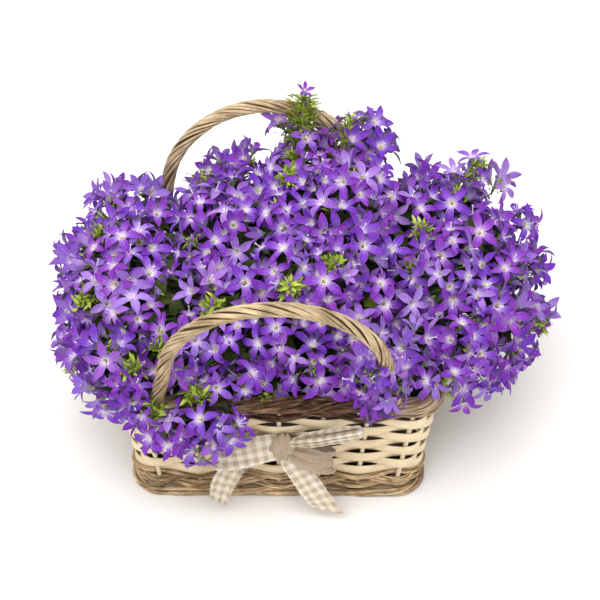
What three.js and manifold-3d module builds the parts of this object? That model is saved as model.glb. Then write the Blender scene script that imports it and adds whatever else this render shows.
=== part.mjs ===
// Oblong wicker planter with two rope handles and a ribbon bow, filled with starry bellflowers.
// Millimetres, +Z up. The origin is the middle of the flat underside, and the front faces -Y.
import * as THREE from "three";
import { mergeVertices } from "three/addons/utils/BufferGeometryUtils.js";
import Module from "manifold-3d";

const wasm = await Module();
wasm.setup();

// Driving dimensions of the basket
const GAP = 0.3; // between pieces that touch
const WALL_HEIGHT = 130;
const STAKE_LINE_AT_FOOT = { x: 125.5, y: 102.5 }; // half sizes of the line that the stakes stand on
const STAKE_LINE_AT_RIM = { x: 139, y: 114 };
const CORNER_RADIUS = 18;
const STAKES_ON_LONG_SIDE = 7;
const STAKES_ON_SHORT_SIDE = 6;
const STAKE_RADIUS = 2.25;
const STAKE_TOP = 122.5;
const FLOOR_THICKNESS = 5;

// Weaver strips and bark twigs
const STRIP = { rows: 8, first: 35.1, pitch: 9.7, height: 9.2, thickness: 1.4 };
const TWIG_RADIUS = 3.3;
const TWIG_REACH = STAKE_RADIUS + GAP + TWIG_RADIUS + 0.45; // from the stake line to a twig's middle
const FOOT_TWIG_Z = 4;
const BASE_TWIG_Z = [11.7, 19.1, 26.5];
const RIM_TWIG_Z = [111.6, 119];
const BORDER = { z: 127, halfWidth: 10, halfHeight: 4 };

// Rope handles
const HANDLE = { archRadius: 97, legHeight: 43, footHalfSpan: 105, ropeRadius: 7.2, strandDip: 1.5 };
const HANDLE_FOOT_LIFT = 3; // from the wall's height up to the middle of the rope's end
const HANDLE_PEG = { radius: 5, bottom: 123.3, top: 131.4 };
const HANDLE_LOBES = 4;
const HANDLE_STEPS = 36;
const HANDLE_TURNS = 3.8;
const FRONT_HANDLE = { side: -1, shift: -3, leanDegrees: 10 };
const BACK_HANDLE = { side: 1, shift: -11, leanDegrees: 6.5 };

// Liner and soil
const LINER = { inset: 10.2, thickness: 1.2, bottom: 5.4, top: 121 };
const SOIL_TOP = 106;
const STEM_HOLE_DEPTH = 9;

// Ribbon
const RIBBON_THICKNESS = 1.2;
const RIBBON_WIDTH = 26;

// The mound that the flowers cover: lobes with a centre and three radii
const MOUND_LOBES = [
  { centre: [-128, 18, 120], radii: [86, 112, 90] },
  { centre: [-42, 38, 136], radii: [85, 112, 88] },
  { centre: [42, 46, 148], radii: [92, 120, 110] },
  { centre: [154, 30, 120], radii: [100, 112, 96] },
  { centre: [-75, -106, 110], radii: [62, 44, 36] },
  { centre: [8, -52, 136], radii: [138, 56, 44] },
  { centre: [80, -102, 138], radii: [42, 34, 28] },
];
const MOUND_HEART = new THREE.Vector3(12, 15, 118);
const MOUND_LOWEST = 84;

// Flowers, larger than life so that they cover the mound
const BLOOM_RADIUS = 24;
const BLOOM_SPACING = 37;
const SPRAY_COUNT = 27;
const STALK_RADIUS = 1.1;
const STEM_STEPS = 3; // straight stretches of a curved stem
const TRUNK_RADIUS = 2.2;
const TRUNK_SHARE = 0.76; // of the way from the heart to the blooms, where inside the rim
const TRUNK_SUNK = 10; // depth of a trunk's hole in the leafy core
const TRUNK_LEAST = 18; // length that stands out of the core
const FIRST_JOINT = 2; // from a trunk's head down to its first stalk
const JOINT_STEP = 2.6; // from stalk to stalk

// Leafy plants
const LEAFY_ROOTS = [
  [-84, -44],
  [0, -44],
  [84, -44],
  [-84, 44],
  [0, 44],
  [84, 44],
];
const LEAFY_ROOT_RADIUS = 4;
const LEAFY_SPLIT_X = 43; // planes that part the leafy cores of neighbouring plants
const CORE = { share: 0.58, halfX: 98, halfY: 76 };
const SIDE_SHOOTS = 18;
const CORE_LEAVES_PER_PLANT = 5;
const LEAST_JOINT = 0.3; // mm3 that a piece shares with what it grows from
const MOST_JOINT = 12;
const TOUCH = 1e-6; // mm3 that two pieces share when they are clear of each other
const LEAF = { length: 28, width: 18, thickness: 1.8 };

// Tips of the shoots that stand above the mound
const TALL_TIPS = [
  [23, 130, 286],
  [64, 120, 274],
  [188, 98, 236],
  [-69, 88, 222],
  [-165, 66, 190],
  [9, -52, 222],
];

// Seeded random numbers, the same on each run
let seed = 20517;
function random(low, high) {
  seed = (Math.imul(seed, 1664525) + 1013904223) >>> 0;
  return low + ((high - low) * seed) / 4294967296;
}

const vector = (x, y, z) => new THREE.Vector3(x, y, z);
const mix = THREE.MathUtils.lerp;

// Solids and meshes

// A solid from points and triangle corners, turned so that its faces point out.
function solidFrom(points, corners) {
  const geometry = new THREE.BufferGeometry().setFromPoints(points);
  geometry.setIndex(corners);
  const merged = mergeVertices(geometry, 1e-4);
  const index = Array.from(merged.index.array);
  const position = merged.attributes.position;
  let volume = 0;
  const [a, b, c] = [vector(), vector(), vector()];
  for (let i = 0; i < index.length; i += 3) {
    a.fromBufferAttribute(position, index[i]);
    b.fromBufferAttribute(position, index[i + 1]);
    c.fromBufferAttribute(position, index[i + 2]);
    volume += a.dot(b.cross(c));
  }
  if (volume < 0) index.reverse();
  return new wasm.Manifold(
    new wasm.Mesh({
      numProp: 3,
      vertProperties: new Float32Array(position.array),
      triVerts: new Uint32Array(index),
    }),
  );
}

function solidOfGeometry(geometry) {
  const plain = geometry.index ? geometry.toNonIndexed() : geometry;
  const position = plain.attributes.position;
  const points = [];
  for (let i = 0; i < position.count; i++) points.push(vector().fromBufferAttribute(position, i));
  return solidFrom(
    points,
    points.map((_, i) => i),
  );
}

// A solid through sections with the same number of points, closed into a ring or capped at its ends.
function loft(sections, ring = false) {
  const count = sections[0].length;
  const corners = [];
  const spans = ring ? sections.length : sections.length - 1;
  for (let i = 0; i < spans; i++) {
    const here = i * count;
    const next = ((i + 1) % sections.length) * count;
    for (let j = 0; j < count; j++) {
      const k = (j + 1) % count;
      corners.push(here + j, next + j, next + k, here + j, next + k, here + k);
    }
  }
  if (!ring) {
    const last = (sections.length - 1) * count;
    for (let j = 1; j < count - 1; j++) {
      corners.push(0, j, j + 1, last, last + j + 1, last + j);
    }
  }
  return solidFrom(sections.flat(), corners);
}

function fuse(solids) {
  return solids.reduce((whole, piece) => whole.add(piece));
}

function meshOf(name, solid, finish) {
  const made = solid.getMesh();
  const geometry = new THREE.BufferGeometry();
  geometry.setAttribute("position", new THREE.BufferAttribute(made.vertProperties, 3));
  geometry.setIndex(new THREE.BufferAttribute(made.triVerts, 1));
  geometry.computeVertexNormals();
  const material = new THREE.MeshStandardMaterial({
    color: finish.color,
    roughness: finish.roughness,
    metalness: 0,
    flatShading: true,
  });
  const mesh = new THREE.Mesh(geometry, material);
  mesh.name = name;
  return mesh;
}

const FINISH = {
  board: { color: 0xb99a6b, roughness: 0.8 },
  strip: { color: 0xe1cda6, roughness: 0.75 },
  bark: { color: 0x6e5038, roughness: 0.9 },
  willow: { color: 0xb29a6b, roughness: 0.75 },
  ribbon: { color: 0xd9cbb2, roughness: 0.95 },
  liner: { color: 0x1d1d1b, roughness: 0.5 },
  soil: { color: 0x33241a, roughness: 1 },
  leaf: { color: 0x4f7d2a, roughness: 0.6 },
  petal: { color: 0x7548cc, roughness: 0.6 },
};

const root = new THREE.Group();
const placed = []; // every solid of the part, in the order it was made

function keep(name, solid, finish) {
  placed.push({ name, solid, finish });
}

// Wall stations

// Every stake round the wall, counterclockwise seen from above, and the middle of each corner.
function wallStations() {
  const sides = [
    { along: [1, 0], out: [0, -1], stakes: STAKES_ON_LONG_SIDE },
    { along: [0, 1], out: [1, 0], stakes: STAKES_ON_SHORT_SIDE },
    { along: [-1, 0], out: [0, 1], stakes: STAKES_ON_LONG_SIDE },
    { along: [0, -1], out: [-1, 0], stakes: STAKES_ON_SHORT_SIDE },
  ];
  const stations = [];
  let stake = 0;
  for (const side of sides) {
    for (let i = 0; i < side.stakes; i++) {
      stations.push({ side, stake, share: (2 * i) / (side.stakes - 1) - 1 });
      stake++;
    }
    stations.push({ side, corner: true });
  }
  return stations;
}

function stakeLineAt(z) {
  const share = z / WALL_HEIGHT;
  return {
    x: mix(STAKE_LINE_AT_FOOT.x, STAKE_LINE_AT_RIM.x, share),
    y: mix(STAKE_LINE_AT_FOOT.y, STAKE_LINE_AT_RIM.y, share),
  };
}

// The point at a station, a height and a distance outside the stake line.
function wallPoint(station, z, offset) {
  const half = stakeLineAt(z);
  const straight = [half.x - CORNER_RADIUS, half.y - CORNER_RADIUS];
  const { along, out } = station.side;
  if (station.corner) {
    const reach = (CORNER_RADIUS + offset) * Math.SQRT1_2;
    return vector(
      (along[0] + out[0]) * (straight[0] + reach),
      (along[1] + out[1]) * (straight[1] + reach),
      z,
    );
  }
  return vector(
    along[0] * station.share * straight[0] + out[0] * (half.x + offset),
    along[1] * station.share * straight[1] + out[1] * (half.y + offset),
    z,
  );
}

const stations = wallStations();

// A rounded rectangle at a height, with its corners as short arcs.
function roundedOutline(half, radius, z) {
  const cornerSteps = 3;
  const points = [];
  for (let quarter = 0; quarter < 4; quarter++) {
    const start = quarter * 90;
    const middle = THREE.MathUtils.degToRad(start + 45);
    const centre = [
      Math.sign(Math.cos(middle)) * (half.x - radius),
      Math.sign(Math.sin(middle)) * (half.y - radius),
    ];
    for (let i = 0; i <= cornerSteps; i++) {
      const turn = THREE.MathUtils.degToRad(start + (90 * i) / cornerSteps);
      points.push(vector(centre[0] + radius * Math.cos(turn), centre[1] + radius * Math.sin(turn), z));
    }
  }
  return points;
}

// Points of a round section on two axes round a middle.
function roundSection(middle, axisA, axisB, radiusAt, sides, turn = 0) {
  const points = [];
  for (let i = 0; i < sides; i++) {
    const angle = turn + (2 * Math.PI * i) / sides;
    const radius = radiusAt(i);
    points.push(
      middle
        .clone()
        .addScaledVector(axisA, radius * Math.cos(angle))
        .addScaledVector(axisB, radius * Math.sin(angle)),
    );
  }
  return points;
}

function levelSection(middle, radius, sides) {
  return roundSection(middle, vector(1, 0, 0), vector(0, 1, 0), () => radius, sides);
}

// Basket

function floorWithStakes() {
  const edge = STAKE_RADIUS + GAP;
  const bends = stations.filter((station) => station.corner || Math.abs(station.share) === 1);
  const outline = (z) => bends.map((station) => wallPoint(station, 0, edge).setZ(z));
  const pieces = [loft([outline(0), outline(FLOOR_THICKNESS)])];
  for (const station of stations) {
    if (station.corner) continue;
    const section = (z) => levelSection(wallPoint(station, z, 0), STAKE_RADIUS, 5);
    pieces.push(loft([section(FLOOR_THICKNESS / 2), section(STAKE_TOP)]));
  }
  return fuse(pieces);
}

// In front of one stake and behind the next, and the other way round in the next row.
function weaveSide(station, row) {
  if (station.corner) return 0;
  return (station.stake + row) % 2 ? 1 : -1;
}

function weaverStrip(row) {
  const z = STRIP.first + row * STRIP.pitch;
  const reach = STAKE_RADIUS + 2 * GAP + STRIP.thickness / 2;
  const sections = stations.map((station) => {
    const offset = weaveSide(station, row) * reach;
    const corner = (dz, side) =>
      wallPoint(station, z + (dz * STRIP.height) / 2, offset + (side * STRIP.thickness) / 2);
    return [corner(-1, -1), corner(-1, 1), corner(1, 1), corner(1, -1)];
  });
  return loft(sections, true);
}

// A bark twig that runs round the wall; row null keeps it outside every stake.
function barkTwig(z, row) {
  const sides = 5;
  const sections = stations.map((station) => {
    const weave = row === null ? 1 : weaveSide(station, row);
    const radius = TWIG_RADIUS * random(0.93, 1);
    const middle = wallPoint(station, z, weave * TWIG_REACH);
    const out = wallPoint(station, z, 1).sub(wallPoint(station, z, 0)).normalize();
    return roundSection(middle, out, vector(0, 0, 1), () => radius, sides, 0.3);
  });
  return loft(sections, true);
}

function handleFeet(handle) {
  return [-1, 1].map((end) => ({
    x: handle.shift + end * HANDLE.footHalfSpan,
    y: handle.side * STAKE_LINE_AT_RIM.y,
  }));
}

// The thick border twigs on top of the stakes, with a hole for each handle foot.
function rimBorder() {
  const { z, halfWidth, halfHeight } = BORDER;
  const profile = [
    [-halfWidth, 0],
    [-0.7 * halfWidth, -halfHeight],
    [0.7 * halfWidth, -halfHeight],
    [halfWidth, 0],
    [0.6 * halfWidth, halfHeight],
    [0, 0.5 * halfHeight],
    [-0.6 * halfWidth, halfHeight],
  ];
  const sections = stations.map((station) => {
    const swell = random(0.88, 1);
    return profile.map(([offset, dz]) => {
      const point = wallPoint(station, z, offset * swell);
      point.z = z + (dz > 0 ? dz * swell : dz);
      return point;
    });
  });
  const holes = [FRONT_HANDLE, BACK_HANDLE].flatMap(handleFeet).map((foot) => {
    const sides = 8;
    const radius = (HANDLE_PEG.radius + GAP) / Math.cos(Math.PI / sides);
    const section = (height) => levelSection(vector(foot.x, foot.y, height), radius, sides);
    return loft([section(z - 2 * halfHeight), section(z + 2 * halfHeight)]);
  });
  return loft(sections, true).subtract(fuse(holes));
}

// Rope handles

// Half a turn of rope on two legs, as points of the handle's own plane: across, and up from the rim.
function handleCurve(handle) {
  const lean = THREE.MathUtils.degToRad(handle.leanDegrees);
  const { archRadius, legHeight, footHalfSpan } = HANDLE;
  const flat = [[-footHalfSpan, HANDLE_FOOT_LIFT]];
  for (let degrees = 180; degrees >= 0; degrees -= 18) {
    const turn = THREE.MathUtils.degToRad(degrees);
    flat.push([archRadius * Math.cos(turn), legHeight + archRadius * Math.sin(turn)]);
  }
  flat.push([footHalfSpan, HANDLE_FOOT_LIFT]);
  const points = flat.map(([across, up]) =>
    vector(
      handle.shift + across,
      handle.side * (STAKE_LINE_AT_RIM.y + (up - HANDLE_FOOT_LIFT) * Math.sin(lean)),
      WALL_HEIGHT + up * Math.cos(lean),
    ),
  );
  return new THREE.CatmullRomCurve3(points, false, "centripetal");
}

function ropeHandle(handle) {
  const curve = handleCurve(handle);
  const lean = THREE.MathUtils.degToRad(handle.leanDegrees);
  const facing = vector(0, Math.cos(lean), -handle.side * Math.sin(lean));
  const sides = 2 * HANDLE_LOBES;
  const sections = [];
  for (let i = 0; i <= HANDLE_STEPS; i++) {
    const share = i / HANDLE_STEPS;
    const tangent = curve.getTangentAt(share);
    const across = tangent.clone().cross(facing).normalize();
    const inward = across.clone().cross(tangent).normalize();
    const radiusAt = (side) => HANDLE.ropeRadius - (side % 2 ? HANDLE.strandDip : 0);
    const turn = 2 * Math.PI * HANDLE_TURNS * share;
    sections.push(roundSection(curve.getPointAt(share), across, inward, radiusAt, sides, turn));
  }
  const rope = loft(sections);
  const pegs = handleFeet(handle).map((foot) => {
    const section = (z) => levelSection(vector(foot.x, foot.y, z), HANDLE_PEG.radius, sides);
    return loft([section(HANDLE_PEG.bottom), section(HANDLE_PEG.top + 6)]);
  });
  return fuse([rope, ...pegs]);
}

// Liner and soil

function insideOutline(z, inset) {
  const half = stakeLineAt(z);
  return roundedOutline({ x: half.x - inset, y: half.y - inset }, CORNER_RADIUS, z);
}

function liner() {
  const { inset, thickness, bottom, top } = LINER;
  const outer = loft([insideOutline(bottom, inset), insideOutline(top, inset)]);
  const hollow = loft([
    insideOutline(bottom + thickness, inset + thickness),
    insideOutline(top + 1, inset + thickness),
  ]);
  return outer.subtract(hollow);
}

function soil() {
  const inset = LINER.inset + LINER.thickness + GAP;
  const body = loft([
    insideOutline(LINER.bottom + LINER.thickness + GAP, inset),
    insideOutline(SOIL_TOP - 4, inset),
    insideOutline(SOIL_TOP, inset + 12),
  ]);
  const holes = LEAFY_ROOTS.map(([x, y]) => {
    const bottom = vector(x, y, SOIL_TOP - STEM_HOLE_DEPTH - GAP);
    return straightStem(bottom, vector(x, y, SOIL_TOP + 5), holeRadius(LEAFY_ROOT_RADIUS, 6), 6);
  });
  return body.subtract(fuse(holes));
}

// Ribbon bow

// A band through points; its width lies along the given direction, square to its run.
function band(points, widthAlong, width, thickness = RIBBON_THICKNESS) {
  const sections = points.map((point, i) => {
    const before = points[Math.max(i - 1, 0)];
    const after = points[Math.min(i + 1, points.length - 1)];
    const run = after.clone().sub(before).normalize();
    const wide = widthAlong.clone().addScaledVector(run, -widthAlong.dot(run)).normalize();
    const thick = run.clone().cross(wide);
    const corner = (w, t) =>
      point
        .clone()
        .addScaledVector(wide, (w * width) / 2)
        .addScaledVector(thick, (t * thickness) / 2);
    return [corner(-1, -1), corner(1, -1), corner(1, 1), corner(-1, 1)];
  });
  return loft(sections);
}

function ribbonBow() {
  const up = vector(0, 0, 1);
  const knotMiddle = vector(3, -120.2, 78);
  const knot = new THREE.SphereGeometry(1, 6, 4);
  knot.scale(13, 6.8, 12.5).translate(knotMiddle.x, knotMiddle.y, knotMiddle.z);
  const leftLoop = [
    vector(0, -121, 80),
    vector(-20, -127, 80),
    vector(-42, -130, 76),
    vector(-57, -127, 72),
    vector(-60, -122, 71),
    vector(-46, -118.6, 72),
    vector(-22, -118.2, 77),
    vector(0, -119, 79),
  ];
  const upperRightLoop = [
    vector(5, -121.5, 84),
    vector(28, -126, 91),
    vector(56, -128, 98),
    vector(84, -127.5, 103),
    vector(86, -125.6, 103),
    vector(56, -123, 96),
    vector(28, -120, 89),
    vector(5, -120, 82),
  ];
  const lowerRightLoop = [
    vector(6, -121, 77),
    vector(24, -128, 72),
    vector(42, -130, 67),
    vector(50, -125, 65),
    vector(42, -119.6, 66),
    vector(24, -118.6, 70),
    vector(6, -119.6, 76),
  ];
  const leftTail = [
    vector(0, -122, 76),
    vector(-15, -128, 60),
    vector(-33, -133, 42),
    vector(-50, -137, 22),
  ];
  const rightTail = [
    vector(5, -122, 76),
    vector(22, -129, 54),
    vector(38, -135, 32),
    vector(51, -139, 11),
  ];
  return fuse([
    solidOfGeometry(knot),
    band(leftLoop, up, RIBBON_WIDTH),
    band(upperRightLoop, up, 0.4 * RIBBON_WIDTH),
    band(lowerRightLoop, up, 0.7 * RIBBON_WIDTH),
    band(leftTail, vector(1, 0, -0.4), RIBBON_WIDTH),
    band(rightTail, vector(1, 0, 0.4), RIBBON_WIDTH),
  ]);
}

// Mound

// The point where a ray from the mound's heart leaves its last lobe, and the way out of the mound there.
function moundSurface(direction) {
  let best = null;
  for (const { centre, radii } of MOUND_LOBES) {
    const scale = vector(1 / radii[0], 1 / radii[1], 1 / radii[2]);
    const from = MOUND_HEART.clone().sub(vector(...centre)).multiply(scale);
    const way = direction.clone().multiply(scale);
    const a = way.dot(way);
    const b = from.dot(way);
    const c = from.dot(from) - 1;
    const inside = b * b - a * c;
    if (inside < 0) continue;
    const distance = (-b + Math.sqrt(inside)) / a;
    if (distance > 0 && (!best || distance > best.distance)) {
      const point = MOUND_HEART.clone().addScaledVector(direction, distance);
      const normal = point.clone().sub(vector(...centre)).multiply(scale).multiply(scale).normalize();
      best = { distance, point, normal };
    }
  }
  return best;
}

function insideRim(point, margin) {
  return (
    Math.abs(point.x) < STAKE_LINE_AT_RIM.x + margin && Math.abs(point.y) < STAKE_LINE_AT_RIM.y + margin
  );
}

// Places for the blooms: directions on a golden spiral, kept where they are far enough from the others.
function bloomPlaces() {
  const tries = 1600;
  const golden = Math.PI * (3 - Math.sqrt(5));
  const found = [];
  for (let i = 0; i < tries; i++) {
    const up = 1 - (1.5 * (i + 0.5)) / tries;
    const flat = Math.sqrt(1 - up * up);
    const surface = moundSurface(vector(flat * Math.cos(golden * i), flat * Math.sin(golden * i), up));
    const { point, normal } = surface;
    const lowest = insideRim(point, BORDER.halfWidth + 14) ? BORDER.z + 22 : MOUND_LOWEST;
    if (point.z < lowest) continue;
    if (found.some((other) => other.point.distanceTo(point) < BLOOM_SPACING)) continue;
    found.push({ point, normal });
  }
  return found;
}

// Centres picked one by one, each as far as it can be from those before it.
function farthestFirst(places, count) {
  const centres = [places[0]];
  while (centres.length < count) {
    let best = null;
    let bestDistance = -1;
    for (const place of places) {
      const distance = Math.min(...centres.map((centre) => centre.point.distanceTo(place.point)));
      if (distance > bestDistance) {
        best = place;
        bestDistance = distance;
      }
    }
    centres.push(best);
  }
  return centres;
}

// A point on the leafy core, a smaller mound that keeps inside the rim, and its distance from the heart.
function corePoint(direction) {
  const nearlyFlat = 1e-6;
  const roomX = direction.x < 0 ? CORE.halfX + MOUND_HEART.x : CORE.halfX - MOUND_HEART.x;
  const roomY = direction.y < 0 ? CORE.halfY + MOUND_HEART.y : CORE.halfY - MOUND_HEART.y;
  const wallX = roomX / Math.max(Math.abs(direction.x), nearlyFlat);
  const wallY = roomY / Math.max(Math.abs(direction.y), nearlyFlat);
  const distance = Math.min(CORE.share * moundSurface(direction).distance, wallX, wallY);
  return { distance, point: MOUND_HEART.clone().addScaledVector(direction, distance) };
}

function directionTo(point) {
  return point.clone().sub(MOUND_HEART).normalize();
}

// Stems, blooms and leaves

// Sections of a thin stem along a curve, from its far end back to its start.
function stemSections(curve, steps, sides, radiusAt, sideAxis) {
  const sections = [];
  for (let i = 0; i <= steps; i++) {
    const share = i / steps;
    const tangent = curve.getTangent(share);
    const axisA = sideAxis.clone().addScaledVector(tangent, -sideAxis.dot(tangent)).normalize();
    const axisB = tangent.clone().cross(axisA);
    sections.push(roundSection(curve.getPoint(share), axisA, axisB, () => radiusAt(share), sides));
  }
  return sections;
}

// A straight prism between two points.
function straightStem(from, to, radius, sides) {
  const run = to.clone().sub(from).normalize();
  const axisA = Math.abs(run.x) < 0.8 ? vector(1, 0, 0) : vector(0, 1, 0);
  axisA.addScaledVector(run, -axisA.dot(run)).normalize();
  const axisB = run.clone().cross(axisA);
  return loft([from, to].map((point) => roundSection(point, axisA, axisB, () => radius, sides)));
}

// The corner radius of a plain hole that clears a stem with the same number of sides.
function holeRadius(stemRadius, sides) {
  return stemRadius + GAP / Math.cos(Math.PI / sides);
}

function stemSolid(curve, sides, startRadius, endRadius) {
  const tangent = curve.getTangent(0.5);
  const sideAxis = Math.abs(tangent.x) < 0.8 ? vector(1, 0, 0) : vector(0, 1, 0);
  const radiusAt = (share) => mix(startRadius, endRadius, share);
  return loft(stemSections(curve, STEM_STEPS, sides, radiusAt, sideAxis));
}

// The middle of the faceted stem at a share of its curve.
function stemMiddle(curve, share) {
  const step = Math.min(Math.floor(share * STEM_STEPS), STEM_STEPS - 1);
  const start = curve.getPoint(step / STEM_STEPS);
  return start.lerp(curve.getPoint((step + 1) / STEM_STEPS), share * STEM_STEPS - step);
}

// A star flower and its stalk as one closed body: five pointed petals joined in a cup, on a stalk.
function bloomSolid(place, from, grow) {
  const petals = 5;
  const radius = place.radius + 2 * grow;
  const notch = 0.45 * radius;
  const thickness = 1.2 + 2 * grow;
  const cup = 0.2 * place.radius;
  const neckDepth = 0.42 * place.radius;
  const stalk = STALK_RADIUS + grow;
  const axis = place.facing;
  const sideA = vector(-axis.y, axis.x, 0);
  if (sideA.length() < 0.1) sideA.set(1, 0, 0);
  sideA.normalize().applyAxisAngle(axis, place.turn);
  const sideB = axis.clone().cross(sideA);
  const at = (reach, degrees, height) => {
    const turn = THREE.MathUtils.degToRad(degrees);
    return place.point
      .clone()
      .addScaledVector(sideA, reach * Math.cos(turn))
      .addScaledVector(sideB, reach * Math.sin(turn))
      .addScaledVector(axis, height);
  };
  const points = [at(0, 0, -cup + grow)];
  const tips = [];
  const upperNotches = [];
  const lowerNotches = [];
  for (let i = 0; i < petals; i++) {
    const lift = place.tipLift * (i % 2 ? 0.6 : 1);
    tips.push(points.push(at(radius, 72 * i, lift)) - 1);
    upperNotches.push(points.push(at(notch, 72 * i + 36, thickness / 2 - 0.5)) - 1);
    lowerNotches.push(points.push(at(notch, 72 * i + 36, -thickness / 2 - 0.5)) - 1);
  }
  const neckCentre = at(0, 0, -neckDepth);
  const reach = neckCentre.distanceTo(from);
  const handleOut = neckCentre.clone().addScaledVector(axis, -0.35 * reach);
  const arch = neckCentre.clone().lerp(from, 0.45);
  arch.z = Math.max(arch.z, place.archHeight);
  const control = place.outside ? arch : handleOut;
  const stalkCurve = new THREE.QuadraticBezierCurve3(neckCentre, control, from);
  const steps = place.outside ? 3 : 2;
  const rings = [];
  for (let i = 0; i <= steps; i++) {
    const tangent = i === 0 ? axis.clone().negate() : stalkCurve.getTangent(i / steps);
    const axisA = sideA.clone().addScaledVector(tangent, -sideA.dot(tangent)).normalize();
    const axisB = axisA.clone().cross(tangent);
    const middle = stalkCurve.getPoint(i / steps);
    const section = roundSection(middle, axisA, axisB, () => (i === 0 ? 1.4 : 1) * stalk, 3);
    rings.push(section.map((point) => points.push(point) - 1));
  }
  const corners = [];
  for (let i = 0; i < petals; i++) {
    const next = (i + 1) % petals;
    corners.push(0, tips[i], upperNotches[i], 0, upperNotches[i], tips[next]);
    corners.push(tips[i], lowerNotches[i], upperNotches[i], upperNotches[i], lowerNotches[i], tips[next]);
  }
  const under = tips.flatMap((tip, i) => [tip, lowerNotches[i]]);
  const neckOf = (j) => rings[0][Math.round(((j % 10) * 36) / 120) % 3];
  for (let j = 0; j < under.length; j++) {
    const next = under[(j + 1) % under.length];
    corners.push(next, under[j], neckOf(j));
    if (neckOf(j) !== neckOf(j + 1)) corners.push(next, neckOf(j), neckOf(j + 1));
  }
  for (let i = 0; i < steps; i++) {
    for (let j = 0; j < 3; j++) {
      const k = (j + 1) % 3;
      const [near, far] = [rings[i], rings[i + 1]];
      corners.push(near[k], near[j], far[j], near[k], far[j], far[k]);
    }
  }
  corners.push(rings[steps][2], rings[steps][1], rings[steps][0]);
  return solidFrom(points, corners);
}

// A pointed leaf, thickest at its midrib and folded a little along it.
function leafSolid(base, way, up, size, grow = 0) {
  const side = way.clone().cross(up).normalize();
  const top = side.clone().cross(way).normalize();
  const at = (along, across, height) =>
    base.clone().addScaledVector(way, along).addScaledVector(side, across).addScaledVector(top, height);
  const length = size * LEAF.length + grow;
  const half = (size * LEAF.width) / 2 + grow;
  const thick = LEAF.thickness / 2 + grow;
  const widest = 0.42 * length;
  const points = [
    at(0, 0, 0),
    at(widest, half, 0.3 * half),
    at(length, 0, -0.12 * length),
    at(widest, -half, 0.3 * half),
    at(widest, 0, thick),
    at(widest, 0, -thick),
  ];
  const corners = [];
  for (let i = 0; i < 4; i++) {
    const k = (i + 1) % 4;
    corners.push(i, k, 4, k, i, 5);
  }
  return solidFrom(points, corners);
}

function boxesTouch(a, b) {
  const [boxA, boxB] = [a.boundingBox(), b.boundingBox()];
  return [0, 1, 2].every((i) => boxA.min[i] < boxB.max[i] && boxB.min[i] < boxA.max[i]);
}

// True where the solid meets nothing that is already placed, apart from its own node.
function isClear(solid, ownName) {
  return placed.every(
    (other) =>
      other.name === ownName ||
      !boxesTouch(other.solid, solid) ||
      other.solid.intersect(solid).volume() < TOUCH,
  );
}

// Adds a piece to its node where its root is sunk in it and its swollen copy stands clear of other nodes.
function growNode(name, piece, swollen, { mostJoint = MOST_JOINT, looseEnd = null } = {}) {
  const node = placed.find((other) => other.name === name);
  const joint = node.solid.intersect(piece).volume();
  if (joint < LEAST_JOINT || joint > mostJoint) return false;
  if (looseEnd && node.solid.intersect(looseEnd).volume() > TOUCH) return false;
  if (!isClear(swollen, name)) return false;
  node.solid = node.solid.add(piece);
  return true;
}

// Plants

// Where a spray branches: under the middle of its blooms, or inside the rim for blooms that hang over it.
function sprayHead(centre) {
  if (insideRim(centre.point, -4)) return MOUND_HEART.clone().lerp(centre.point, TRUNK_SHARE);
  const limit = { x: STAKE_LINE_AT_RIM.x - 18, y: STAKE_LINE_AT_RIM.y - 18 };
  const head = MOUND_HEART.clone().lerp(centre.point, 0.55);
  head.x = THREE.MathUtils.clamp(head.x, -limit.x, limit.x);
  head.y = THREE.MathUtils.clamp(head.y, -limit.y, limit.y);
  head.z = Math.max(head.z, BORDER.z + 26);
  return head;
}

// A straight trunk from its hole in the leafy core to its head; the head gives way to what stands there.
function growTrunk(name, wanted, radius, sides, finish) {
  for (let attempt = 0; attempt < 40; attempt++) {
    const reach = 1.5 * attempt;
    const shift = vector(random(-reach, reach), random(-reach, reach), random(0, reach));
    const aim = wanted.clone().add(shift);
    const way = directionTo(aim);
    const surface = corePoint(way).distance;
    const length = Math.max(aim.distanceTo(MOUND_HEART), surface + TRUNK_LEAST);
    const foot = MOUND_HEART.clone().addScaledVector(way, surface - TRUNK_SUNK);
    const head = MOUND_HEART.clone().addScaledVector(way, length);
    if (!isClear(straightStem(foot, head, radius + GAP, sides), name)) continue;
    keep(name, straightStem(foot, head, radius, sides), finish);
    return { name, way, foot, head, radius, sides };
  }
  throw new Error(`no clear way up for ${name}`);
}

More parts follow.
